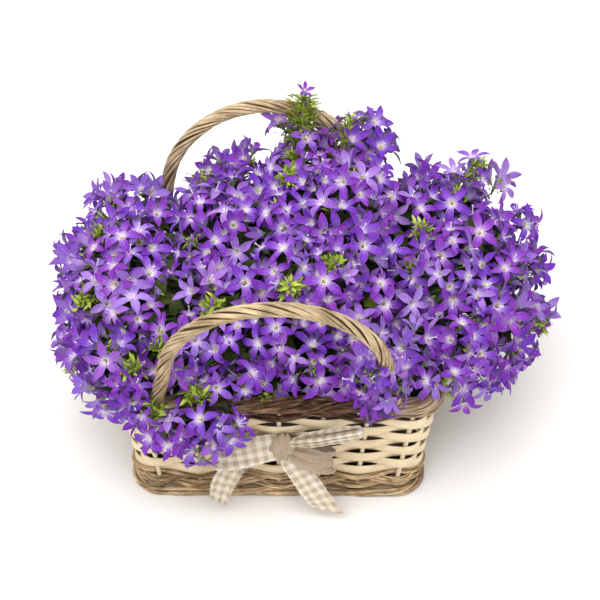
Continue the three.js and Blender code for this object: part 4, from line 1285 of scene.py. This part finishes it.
# The flowers stand in clumps, each a low dome round its own stem tip
clump = {
    "spacing": 37.0,
    "tries": 6000,
    "rise": 6.5,
    "dome": 6.0,
    "lean": 0.85,
    "uneven": 2.5,
    "lookUp": 0.3,
    "aim": 0.24,
    "crownShare": 0.4,
    "crownRadius": 6.0,
    "crownDepth": 7,
    "crownSize": 0.75,
    "crownStalk": 0.8,
}
clumpPlaces, clumpNormals = spreadPlaces(clump["spacing"], clump["tries"], 1.3)
clumpHeights = rng.uniform(-1, 1, len(clumpPlaces)) * clump["rise"]
clumpCrowned = rng.random(len(clumpPlaces)) < clump["crownShare"]
stalkLeaf = {"sizes": (0.5, 0.85), "fresh": (0, 0.12)}


def growBlooms(places, normals, depth, fine, clearPlaces):
    grown = 0
    for place, normal in zip(places, normals):
        near = nearest(clumpPlaces, place)
        away = place - clumpPlaces[near]
        fromTip = away / (clump["spacing"] / 2)
        rise = clumpHeights[near] - clump["dome"] * np.sum(fromTip**2) - depth
        rise = rise + rng.uniform(-clump["uneven"], clump["uneven"])
        middle = place + normal * rise
        lift = [0, 0, rng.uniform(0, clump["lookUp"])]
        axis = unit(normal + clump["lean"] * fromTip + lift + rng.normal(0, clump["aim"], 3))
        if isNear(handleLines, middle, bloom["clearOfHandle"]):
            continue
        inCrown = clumpCrowned[near] and np.linalg.norm(away) < clump["crownRadius"]
        if fine and (inCrown or isNear(clearPlaces, middle, bloom["clearOfCrown"])):
            continue
        number = nearest(spraySurface, place)
        size = rng.uniform(*bloom["sizes"])
        base = addBloom(sprays[number], middle, axis, size, pickOpening(), rng.random(), fine)
        head = sprayHeadPlaces[number] + rng.normal(0, 3, 3)
        line = addStalk(sprays[number], base, axis, head, overRim(middle), steps=6 if fine else 5)
        if overRim(middle):
            # a dark leaf on the long stalk, as the stalks would look bare
            way = rng.normal(0, 1, 3)
            leafSize, fresh = rng.uniform(*stalkLeaf["sizes"]), rng.uniform(*stalkLeaf["fresh"])
            addLeaf(sprays[number], line[3], way, normal, leafSize, fresh, small=True)
        grown += 1
    return grown


def growClumpCrowns():
    for place, normal, height, crowned in zip(clumpPlaces, clumpNormals, clumpHeights, clumpCrowned):
        if crowned and not isNear(handleLines, place, bloom["clearOfHandle"]):
            number = nearest(spraySurface, place)
            base = place + normal * (height - clump["crownDepth"])
            way = normal + [0, 0, 0.3]
            addTuft(sprays[number], base, way, clump["crownSize"], leaves=11, buds=5, violetShare=0.5)
            end = sprayHeadPlaces[number]
            addStalk(sprays[number], base, normal, end, overRim(place), radius=clump["crownStalk"])


# Fresh green crowns and flower heads that stand proud, each with its pixel in the photograph
crownPixels = [
    (301, 116), (297, 136), (292, 156), (288, 176), (205, 180), (480, 166), (100, 232), (290, 290),
    (335, 265), (212, 308), (268, 398), (372, 374), (436, 392), (540, 325), (160, 345), (420, 230),
    (197, 395), (152, 412), (84, 300), (130, 370),
]
headPixels = [
    (108, 192), (146, 190), (218, 166), (246, 158), (384, 142), (424, 174), (498, 182), (370, 122),
    (524, 220), (536, 262), (538, 312), (524, 350), (74, 246), (66, 300), (72, 350), (94, 376),
    (128, 394), (166, 432), (203, 452), (230, 430), (500, 374), (282, 120),
    (182, 366), (214, 384), (244, 378), (330, 132), (352, 140), (366, 152), (384, 362),
    (366, 384), (398, 388), (378, 406), (408, 268),
]
crown = {"sizes": (0.95, 1.2), "depth": 5, "leaves": 60}
flowerHead = {
    "flowers": (3, 6),
    "sizes": (0.86, 1.05),
    "away": (8, 12),
    "rise": (-3, 4),
    "stalkDepth": 14,
    "tuftDepth": 9,
    "tuftSize": 0.8,
    "stemDepth": 12,
    "hint": (0.2, 0.9, 0.3),
}


def placeUnderPixel(pixel):
    # where the line of sight meets the mound, or passes closest to it
    camera = bpy.context.scene.camera
    turn = np.array(camera.matrix_world.to_3x3())
    eye = np.array(camera.matrix_world.translation) / mm
    pixels = cameraSettings["photoPixels"]
    perPixel = camera.data.sensor_width / camera.data.lens / pixels
    right, up = (pixel[0] - pixels / 2) * perPixel, (pixels / 2 - pixel[1]) * perPixel
    way = unit(turn @ np.array([right, up, -1.0]))
    hits, passes = [], []
    for centre, radii in mound["lobes"]:
        scale = 1 / np.array(radii, float)
        f, w = (eye - np.array(centre)) * scale, way * scale
        a, b, c = w @ w, f @ w, f @ f - 1
        spare = b * b - a * c
        near = (-b - math.sqrt(max(spare, 0))) / a
        point = eye + way * near
        found = (point, unit((point - np.array(centre)) * scale * scale))
        if spare > 0:
            hits.append((near, *found))
        else:
            passes.append((-spare, *found))
    return min(hits or passes, key=lambda item: item[0])[1:]


def growCrown(pixel):
    place, normal = placeUnderPixel(pixel)
    number = nearest(spraySurface, place)
    size = rng.uniform(*crown["sizes"])
    base = place - normal * crown["depth"]
    addTuft(sprays[number], base, normal + [0, 0, 0.4], size, leaves=round(crown["leaves"] * size))
    end = sprayHeadPlaces[number]
    addStalk(sprays[number], base, normal, end, overRim(place), radius=spray["crownStalk"])
    return place


def growFlowerHead(pixel):
    # a stem tip with flowers that look out all round and a small crown between them
    place, normal = placeUnderPixel(pixel)
    way = unit(normal + [0, 0, 0.5])
    number = nearest(spraySurface, place)
    square, other = acrossPair(way, flowerHead["hint"])
    count = rng.integers(*flowerHead["flowers"])
    for k in range(count):
        turn = 2 * math.pi * (k / count + rng.uniform(-0.06, 0.06))
        out = square * math.cos(turn) + other * math.sin(turn)
        axis = unit(way * rng.uniform(0.5, 1.0) + out)
        flower = place + out * rng.uniform(*flowerHead["away"]) + way * rng.uniform(*flowerHead["rise"])
        size = rng.uniform(*flowerHead["sizes"])
        base = addBloom(sprays[number], flower, axis, size, pickOpening(), rng.random())
        addStalk(sprays[number], base, axis, place - way * flowerHead["stalkDepth"], False, steps=4)
    tuft = place - way * flowerHead["tuftDepth"]
    addTuft(sprays[number], tuft, way, flowerHead["tuftSize"], leaves=12, buds=6)
    start, end = place - way * flowerHead["stemDepth"], sprayHeadPlaces[number]
    addStalk(sprays[number], start, way, end, overRim(place), radius=spray["crownStalk"])
    return place


crownPlaces = np.array([growCrown(pixel) for pixel in crownPixels])
headPlaces = np.array([growFlowerHead(pixel) for pixel in headPixels])
clearPlaces = np.concatenate([crownPlaces, headPlaces])
growClumpCrowns()
outerPlaces = spreadPlaces(bloom["outerSpacing"], 14000)
outerGrown = growBlooms(*outerPlaces, 0.0, True, clearPlaces)
innerPlaces = spreadPlaces(bloom["innerSpacing"], 9000, 0.7)
innerGrown = growBlooms(*innerPlaces, bloom["innerDepth"], False, clearPlaces)
print("flowers grown:", outerGrown, "outer,", innerGrown, "inner and", len(headPixels), "heads")


def growTrunks():
    for made, head in zip(sprays, sprayHeadPlaces):
        foot = np.array([*(head[:2] * trunk["footShare"]), soil["top"] - trunk["footSunk"]])
        line = bezier(foot, (foot + head) / 2 + [0, 0, trunk["bow"]], head, trunk["steps"])
        radii = np.linspace(*trunk["radii"], trunk["steps"])
        addRod(made, line, radii, trunk["sides"], slot=greenSlot, tone=greenTone(0.25))


growTrunks()
for node, made in zip(sprayNodes, sprays):
    finishPiece(made.make("bloomSpray" + node[-2:], flowerMaterials), "petal", node)
print("sprays made")

# Leafy plants: leaves deep between the stems, darker the deeper they lie as painted shade, fresher ones
# nearer the light, and low ones on the soil
plants = {
    "roots": [(-84, -44), (0, -44), (84, -44), (-84, 44), (0, 44), (84, 44)],
    "leavesEach": 170,
    "spacing": 15.0,
    "deepest": 44,
    "shallowest": 24,
    "sizes": (0.55, 0.85),
    "largerBelow": 0.55,
    "freshness": 0.24,
    # painted shade: how much darker the green grows for each millimetre of depth
    "paintedShadePerDepth": 0.005,
    "stemAt": 0.62,
}
lowLeaves = {
    "each": 46,
    "spread": (46, 42),
    "heights": (6, 42),
    "offRim": 22,
    "sizes": (0.8, 1.25),
    "fresh": (0.02, 0.3),
    "stalkRadius": 0.7,
}


def growDeepLeaves(made):
    roots = np.array(plants["roots"], float)
    places, normals = spreadPlaces(plants["spacing"], 9000, 1.9)
    span = plants["deepest"] - plants["shallowest"]
    for k in range(plants["leavesEach"] * len(roots)):
        i = k % len(places)
        depth = rng.uniform(plants["shallowest"], plants["deepest"])
        place = places[i] - normals[i] * depth + rng.normal(0, 4, 3)
        plant = made[nearest(roots, place[:2])]
        way = unit(normals[i] + rng.normal(0, 0.75, 3))
        # painted shade: the deeper a leaf lies, the darker its green
        fresh = np.clip(rng.normal(plants["freshness"] - plants["paintedShadePerDepth"] * depth, 0.08), 0, 1)
        top = normals[i] + rng.normal(0, 0.3, 3)
        # the deeper a leaf lies, the larger it is, so that no light comes through the mound
        size = rng.uniform(*plants["sizes"]) + plants["largerBelow"] * (depth - plants["shallowest"]) / span
        addLeaf(plant, place, way, top, size, fresh, slot=0, small=True)
        line = bezier(place, place - way * 9, heart + (place - heart) * plants["stemAt"], 4)
        addRod(plant, line, np.full(4, leaf["stalkRadius"]), 3, slot=0, tone=greenTone(0.35))


def growLowLeaves(plant, x, y):
    reachX, reachY = lowLeaves["spread"]
    limit = np.array(basket["rimHalf"]) - lowLeaves["offRim"]
    for _ in range(lowLeaves["each"]):
        flat = [x + rng.uniform(-reachX, reachX), y + rng.uniform(-reachY, reachY)]
        place = np.array([*flat, soil["top"] + rng.uniform(*lowLeaves["heights"])])
        place[:2] = np.clip(place[:2], -limit, limit)
        way = unit(np.array([place[0] - x, place[1] - y, 20.0]) + rng.normal(0, 12, 3))
        size, fresh = rng.uniform(*lowLeaves["sizes"]), rng.uniform(*lowLeaves["fresh"])
        addLeaf(plant, place, way, np.array([0, 0, 1.0]), size, fresh, slot=0)
        line = bezier(place, place - way * 8, np.array([x, y, soil["top"] - 2]), 5)
        addRod(plant, line, np.full(5, lowLeaves["stalkRadius"]), 4, slot=0, tone=greenTone(0.2))


def makePlants():
    made = [Gathered() for _ in plants["roots"]]
    growDeepLeaves(made)
    for i, (x, y) in enumerate(plants["roots"]):
        growLowLeaves(made[i], x, y)
        finishPiece(made[i].make(f"leafyPlant{i + 1}", [plantGreen]), "leaf", f"leafy_plant_{i + 1}")


makePlants()

# Tall shoots that stand above the mound, with leaves, buds and flowers at the tip
tallShoots = [
    {"tip": (21, 128, 279), "leafyFrom": 0.4, "leaves": 330, "leafSize": 0.48, "fresh": 0.8, "spread": 11},
    {"tip": (64, 120, 264), "leafyFrom": 0.6, "leaves": 90, "leafSize": 0.36, "fresh": 0.6, "spread": 8},
    {"tip": (188, 98, 232), "leafyFrom": 0.7, "leaves": 24, "leafSize": 0.36, "fresh": 0.6, "spread": 6},
    {"tip": (-69, 88, 216), "leafyFrom": 0.7, "leaves": 40, "leafSize": 0.36, "fresh": 0.6, "spread": 8},
    {"tip": (-165, 66, 186), "leafyFrom": 0.75, "leaves": 20, "leafSize": 0.36, "fresh": 0.6, "spread": 6},
    {"tip": (9, -52, 214), "leafyFrom": 0.8, "leaves": 26, "leafSize": 0.36, "fresh": 0.6, "spread": 7},
]
shootBuds = [40, 18, 8, 12, 8, 10]
shootFlowers = [4, 7, 4, 3, 3, 2]
topFlower = {"size": 0.52, "lift": 7, "opening": 40, "tint": 0.98}  # it stands on the first shoot's tip
shootStem = {"steps": 16, "sides": 7, "radii": (1.8, 0.8), "footAt": 0.3, "footSunk": 4, "bow": 14}


def growShootLeaves(made, shoot, pointAt, run, square, other):
    for k in range(shoot["leaves"]):
        share = shoot["leafyFrom"] + (1 - shoot["leafyFrom"]) * (k + 0.5) / shoot["leaves"]
        out = square * math.cos(2.4 * k) + other * math.sin(2.4 * k)
        at = pointAt(share) + out * rng.uniform(0, shoot["spread"]) * min(1, 6 * (1.08 - share))
        way = out + run * rng.uniform(0.5, 1.2)
        size = shoot["leafSize"] * rng.uniform(0.72, 1.25)
        addLeaf(made, at, way, run, size, rng.uniform(shoot["fresh"], 1.0), 0.5, small=True)


def growTopFlower(made, tip, run):
    axis = unit(run + [0.3, -0.8, 0])
    place = tip + run * topFlower["lift"]
    base = addBloom(made, place, axis, topFlower["size"], topFlower["opening"], topFlower["tint"])
    addStalk(made, base, run, tip - run * 4, False, steps=4)


def makeTallShoot(index, shoot):
    made = Gathered()
    tip = np.array(shoot["tip"], float)
    foot = heart + (tip - heart) * shootStem["footAt"]
    foot[2] = soil["top"] - shootStem["footSunk"]
    steps = shootStem["steps"]
    line = bezier(foot, (foot + tip) / 2 + [0, 0, shootStem["bow"]], tip, steps)
    radii = np.linspace(*shootStem["radii"], steps)
    addRod(made, line, radii, shootStem["sides"], slot=greenSlot, tone=greenTone(0.6))
    shares = np.linspace(0, 1, steps)
    run = unit(line[-1] - line[-4])
    square, other = acrossPair(run, (0.3, 0.9, 0.1))

    def pointAt(share):
        return np.array([np.interp(share, shares, line[:, c]) for c in range(3)])

    growShootLeaves(made, shoot, pointAt, run, square, other)
    for _ in range(shootBuds[index]):
        at = pointAt(rng.uniform(0.7, 1.0))
        addBud(made, at, run + rng.normal(0, 0.6, 3), rng.uniform(8, 12), rng.random() < 0.3)
    if index == 0:
        growTopFlower(made, tip, run)
    for k in range(shootFlowers[index]):
        out = square * math.cos(2.2 * k) + other * math.sin(2.2 * k)
        axis = unit(run * 0.7 + out)
        flower = tip + out * (11 + 2 * k) - run * (4 + 7.0 * k + 0.07 * shoot["leaves"])
        base = addBloom(made, flower, axis, rng.uniform(0.72, 0.95), pickOpening(), rng.random())
        addStalk(made, base, axis, flower - out * 9 - run * 12, False, steps=4)
    finishPiece(made.make(f"tallShoot{index + 1}", flowerMaterials), "leaf", f"tall_shoot_{index + 1}")


for index, shoot in enumerate(tallShoots):
    makeTallShoot(index, shoot)
print("leafy plants and tall shoots made")

# Gingham bow: every loop, tail and the knot is a sheet of the same ribbon
ribbon = {
    "width": 26,
    "check": 4.6,
    "colours": [(0.55, 0.45, 0.32), (0.74, 0.65, 0.52), (0.9, 0.84, 0.74)],
    "stripeEdge": [(0.22, (0, 0, 0)), (0.28, (1, 1, 1))],
    "slubColours": [(0.3, (0.84, 0.81, 0.77)), (0.7, (1.08, 1.07, 1.05))],
    "threads": 9.0,
    "wobble": 0.9,
    "mapShift": 3.2,
    "steps": 56,
    "columns": 25,
    "edgeUneven": 0.35,
    "sheen": {"Sheen_Weight": 0.2, "Sheen_Roughness": 0.5},
    "restsOn": ["weaver_strip_5"],
}
linenLook = {
    "roughness": 0.95,
    "specular": 0.1,
    "sheen": ribbon["sheen"],
    "followsSurface": True,
    "stretch": (0.35, 2.6, 1),
    "grain": (1.1, 4),
    "colours": [(0.25, (0.22, 0.16, 0.105)), (0.5, (0.4, 0.31, 0.22)), (0.8, (0.62, 0.52, 0.41))],
    "bump": (0.6, 0.0005),
}


def ginghamMaterial():
    material, tree, shader = newMaterial("linenGingham", 0.95, 0.1, **ribbon["sheen"])
    where = surfacePlace(tree)
    split = addNode(tree, "ShaderNodeSeparateXYZ", Vector=where)
    wobble = maths(tree, "MULTIPLY", noise(tree, objectPlace(tree), 120, 2), ribbon["wobble"])
    stripes, threads = [], []
    for axis in range(2):
        cell = maths(tree, "DIVIDE", maths(tree, "ADD", split.outputs[axis], wobble), 2 * ribbon["check"])
        stripes.append(ramp(tree, maths(tree, "PINGPONG", cell, 0.5), ribbon["stripeEdge"]))
        wave = maths(tree, "SINE", maths(tree, "MULTIPLY", split.outputs[axis], ribbon["threads"]))
        threads.append(maths(tree, "ABSOLUTE", wave))
    dark, middle, pale = ribbon["colours"]
    onStripe = mixColours(tree, stripes[0], middle, dark)
    between = mixColours(tree, stripes[0], pale, middle)
    check = mixColours(tree, stripes[1], between, onStripe)
    weave = maths(tree, "MULTIPLY", threads[0], threads[1])
    slub = noise(tree, stretched(tree, where, (0.5, 2.2, 1)), 1.2, 4)
    setColour(tree, shader, shaded(tree, check, ramp(tree, slub, ribbon["slubColours"])))
    addBump(tree, shader, maths(tree, "ADD", weave, slub), 0.5, 0.0004)
    return material


linenGingham = ginghamMaterial()
brownLinen = grainMaterial("brownLinen", linenLook)  # the ribbon's plain back, on the knot and one loop; on the lower right loop its darker brown is also painted shade

# Each piece has points along its middle line and a way that its width points in. Its width is a share of
# the ribbon's, drawn in at the ends by the taper, and a tail's end is cut at a slant.
bow = {
    "bowLeftLoop": {
        "line": [
            (0, -121, 80), (-20, -127, 80), (-42, -130, 76), (-57, -127, 72),
            (-60, -122, 71), (-46, -118.6, 72), (-22, -118.2, 77), (0, -119, 79),
        ],
        "widthWay": (0.0, 0.55, 0.83),
        "share": 1.0,
        "folds": 0.9,
        "taper": (0.95, 0.7),
    },
    "bowUpperRightLoop": {
        "line": [
            (5, -121.5, 84), (26, -127, 93), (50, -130.5, 103), (72, -133, 112),
            (75, -131, 112.5), (50, -127, 102), (26, -121.5, 91), (5, -120, 82),
        ],
        "widthWay": (0.0, 0.05, 1.0),
        "share": 0.38,
        "folds": 0.6,
        "taper": (0.6, 0.3),
        "pleat": 2.4,
    },
    "bowLowerRightLoop": {
        "line": [
            (6, -121, 77), (24, -128, 72), (42, -130, 67), (50, -125, 65),
            (42, -119.6, 66), (24, -118.6, 70), (6, -119.6, 76),
        ],
        "widthWay": (0.0, 0.55, 0.83),
        "share": 0.8,
        "folds": 1.2,
        "taper": (0.5, 0.5),
        "pleat": 0.7,
        # painted shade: the darker plain linen on this loop stands for the shade it hangs in below the knot
        "material": brownLinen,
    },
    "bowLeftTail": {
        "line": [(0, -121, 76), (-24, -122, 72), (-40, -126, 60), (-50, -131, 42), (-55, -135, 20)],
        "widthWay": (1, 0, -0.45),
        "share": 0.82,
        "folds": 1.0,
        "taper": (0.5, 0.85),
        "cut": 6.0,
    },
    "bowRightTail": {
        "line": [(5, -122, 76), (18, -129, 56), (32, -135, 34), (45, -139, 12)],
        "widthWay": (1, 0, 0.45),
        "share": 0.9,
        "folds": 0.5,
        "taper": (0.6, 0.95),
        "cut": 20.0,
    },
}
knot = {
    "middle": (3, -120.2, 78),
    "radii": (12.0, 8.6, 16.0),
    "length": 42,
    "halfTurn": 0.62,
    "steps": 48,
    "columns": 21,
    "folds": (0.09, 0.04),
    "shift": 1.2,
    "mapSpan": (11, 13),
}
fringe = {
    "share": 0.6,
    "perColumn": 3,
    "lengths": (0.8, 1.8),
    "tailLengths": (0.8, 2.6),
    "radii": (0.16, 0.14, 0.08),
    "aim": 0.35,
    "curl": 0.25,
}


def smoothCurve(points, steps):
    points = np.array(points, float)
    length = runLength(points)
    dense = np.linspace(0, length[-1], steps)
    line = np.stack([np.interp(dense, length, points[:, c]) for c in range(3)], 1)
    for _ in range(max(2, steps // 8)):
        rounded(line)
    return line


def makeRibbon(name, s):
    steps, columns = ribbon["steps"], ribbon["columns"]
    line = smoothCurve(s["line"], steps)
    along = unit(np.gradient(line, axis=0))
    widthWay = np.array(s["widthWay"], float)
    wide = unit(widthWay - along * (along @ widthWay)[:, None])
    thick = np.cross(along, wide)
    w = np.linspace(-0.5, 0.5, columns)
    t = np.linspace(0, 1, steps)
    start, end = s["taper"]
    width = ribbon["width"] * s["share"] * np.interp(t, [0, 0.18, 0.82, 1], [start, 1, 1, end])
    phase = rng.uniform(0, 6)
    crumple = s["folds"] * (
        np.sin(2 * math.pi * (2.2 * w[None] + 0.9 * t[:, None]) + phase)
        + 0.6 * np.sin(2 * math.pi * (4.1 * w[None] - 1.7 * t[:, None]) + 2 * phase)
    )
    pleats = np.abs((3.0 * w[None] + 0.4 * np.sin(3 * t)[:, None]) % 1 - 0.5) * 4
    crumple = crumple + s.get("pleat", 0.0) * pleats
    uneven = ribbon["edgeUneven"] * smoothNoise(steps, 15, False)
    reach = w[None] * width[:, None] + uneven[:, None] * (np.abs(w)[None] > 0.45) * np.sign(w)[None]
    slant = s.get("cut", 0.0) * w[None] * np.clip(4 * t - 3, 0, 1)[:, None]
    grid = line[:, None] + wide[:, None] * reach[..., None] + thick[:, None] * crumple[..., None]
    grid = grid + along[:, None] * slant[..., None]
    length = runLength(line)
    mapAcross = w[None] * ribbon["width"] + ribbon["mapShift"]
    surface = np.stack(np.broadcast_arrays(length[:, None], mapAcross), -1)
    made = Gathered()
    made.add(grid.reshape(-1, 3), gridQuads(steps, columns), surface.reshape(-1, 2))
    piece = finishPiece(made.make(name, [s.get("material", linenGingham)]), "ribbon", "gingham_bow")
    return grid


def makeKnot():
    # the ribbon wrapped once round the middle, drawn in so that folds run round it
    steps, columns = knot["steps"], knot["columns"]
    turn = np.linspace(-knot["halfTurn"] * math.pi, knot["halfTurn"] * math.pi, steps)[:, None]
    w = np.linspace(-1, 1, columns)[None]
    rx, ry, rz = knot["radii"]
    broad, narrow = knot["folds"]
    fold = 1 + broad * np.sin(10.0 * w + 3.4 * np.sin(turn)) + narrow * np.sin(17 * w + turn)
    bulge = np.sqrt(1 - 0.8 * w**2) * fold
    x = (w * rx * 0.96) * (0.86 + 0.14 * np.cos(turn)) + knot["shift"] * np.sin(turn)
    y = -ry * np.cos(turn) * bulge
    z = rz * np.sin(turn) * bulge
    grid = np.stack([x, y, z], -1) + np.array(knot["middle"])
    mapAlong, mapAcross = knot["mapSpan"]
    surface = np.stack(np.broadcast_arrays(turn * mapAlong, w * mapAcross), -1)
    made = Gathered()
    made.add(grid.reshape(-1, 3), gridQuads(steps, columns)[:, ::-1], surface.reshape(-1, 2))
    piece = finishPiece(made.make("bowKnot", [brownLinen]), "ribbon", "gingham_bow")


def makeFringe(grids):
    # frayed threads along both edges, and more of them at the end of each tail
    made = Gathered()
    for name, grid in grids.items():
        isTail = name.endswith("Tail")
        lengths = fringe["tailLengths" if isTail else "lengths"]
        edges = []
        for i in range(2, len(grid)):
            edges += [(grid[i, 0], grid[i, 0] - grid[i, 1]), (grid[i, -1], grid[i, -1] - grid[i, -2])]
        if isTail:
            for k in range(grid.shape[1]):
                edges += [(grid[-1, k], grid[-1, k] - grid[-3, k])] * fringe["perColumn"]
        for place, way in edges:
            if not isTail and rng.random() < 1 - fringe["share"]:
                continue
            aim = unit(unit(way) + rng.normal(0, fringe["aim"], 3)) * rng.uniform(*lengths)
            end = place + aim + rng.normal(0, fringe["curl"], 3)
            addRod(made, np.array([place - aim * 0.2, place + aim * 0.5, end]), np.array(fringe["radii"]), 3)
    finishPiece(made.make("bowFringe", [linenGingham]), "ribbon", "gingham_bow")


ribbonGrids = {name: makeRibbon(name, s) for name, s in bow.items()}
makeKnot()
makeFringe(ribbonGrids)
print("bow made")

# Soft studio: a pale floor, an even world and three broad lamps
studio = {
    "world": (1.0, 0.985, 0.965),
    "worldStrength": 0.6,
    "floorHalf": 4,
    "floorColour": (0.96, 0.95, 0.935),
    "floorShade": 0.97,
    "lampsAim": (0, 0, 0.12),
    "lamps": [
        {"at": (-0.8, -0.85, 2.3), "size": 2.5, "watts": 57},
        {"at": (1.3, -1.0, 1.8), "size": 2.2, "watts": 17},
        {"at": (0.2, 1.5, 1.9), "size": 1.6, "watts": 14},
    ],
}
darkerFloor = tuple(studio["floorShade"] * c for c in studio["floorColour"])
floorLook = {
    "roughness": 0.9,
    "specular": 0.1,
    "grain": (3, 2),
    "colours": [(0.3, darkerFloor), (0.7, studio["floorColour"])],
}


def makeFloor():
    half = studio["floorHalf"]
    mesh = bpy.data.meshes.new("studioFloor")
    corners = [(-half, -half, 0), (half, -half, 0), (half, half, 0), (-half, half, 0)]
    mesh.from_pydata(corners, [], [(0, 1, 2, 3)])
    mesh.materials.append(grainMaterial("paleFloor", floorLook))
    floor = bpy.data.objects.new("studioFloor", mesh)
    bpy.context.collection.objects.link(floor)


def lightWorld():
    world = bpy.data.worlds.new("studioWorld")
    world.use_nodes = True
    sky = world.node_tree.nodes["Background"]
    sky.inputs["Color"].default_value = (*studio["world"], 1)
    sky.inputs["Strength"].default_value = studio["worldStrength"]
    bpy.context.scene.world = world
    bpy.context.scene.view_settings.view_transform = "Standard"


def addLamp(name, lamp):
    data = bpy.data.lights.new(name, "AREA")
    data.size = lamp["size"]
    data.energy = lamp["watts"]
    light = bpy.data.objects.new(name, data)
    light.location = lamp["at"]
    aim = Vector(studio["lampsAim"]) - Vector(lamp["at"])
    light.rotation_mode = "QUATERNION"
    light.rotation_quaternion = aim.to_track_quat("-Z", "Y")
    bpy.context.collection.objects.link(light)


makeFloor()
lightWorld()
for i, lamp in enumerate(studio["lamps"]):
    addLamp(f"softLamp{i + 1}", lamp)
print("studio made, with", Gathered.total, "triangles in the pieces")
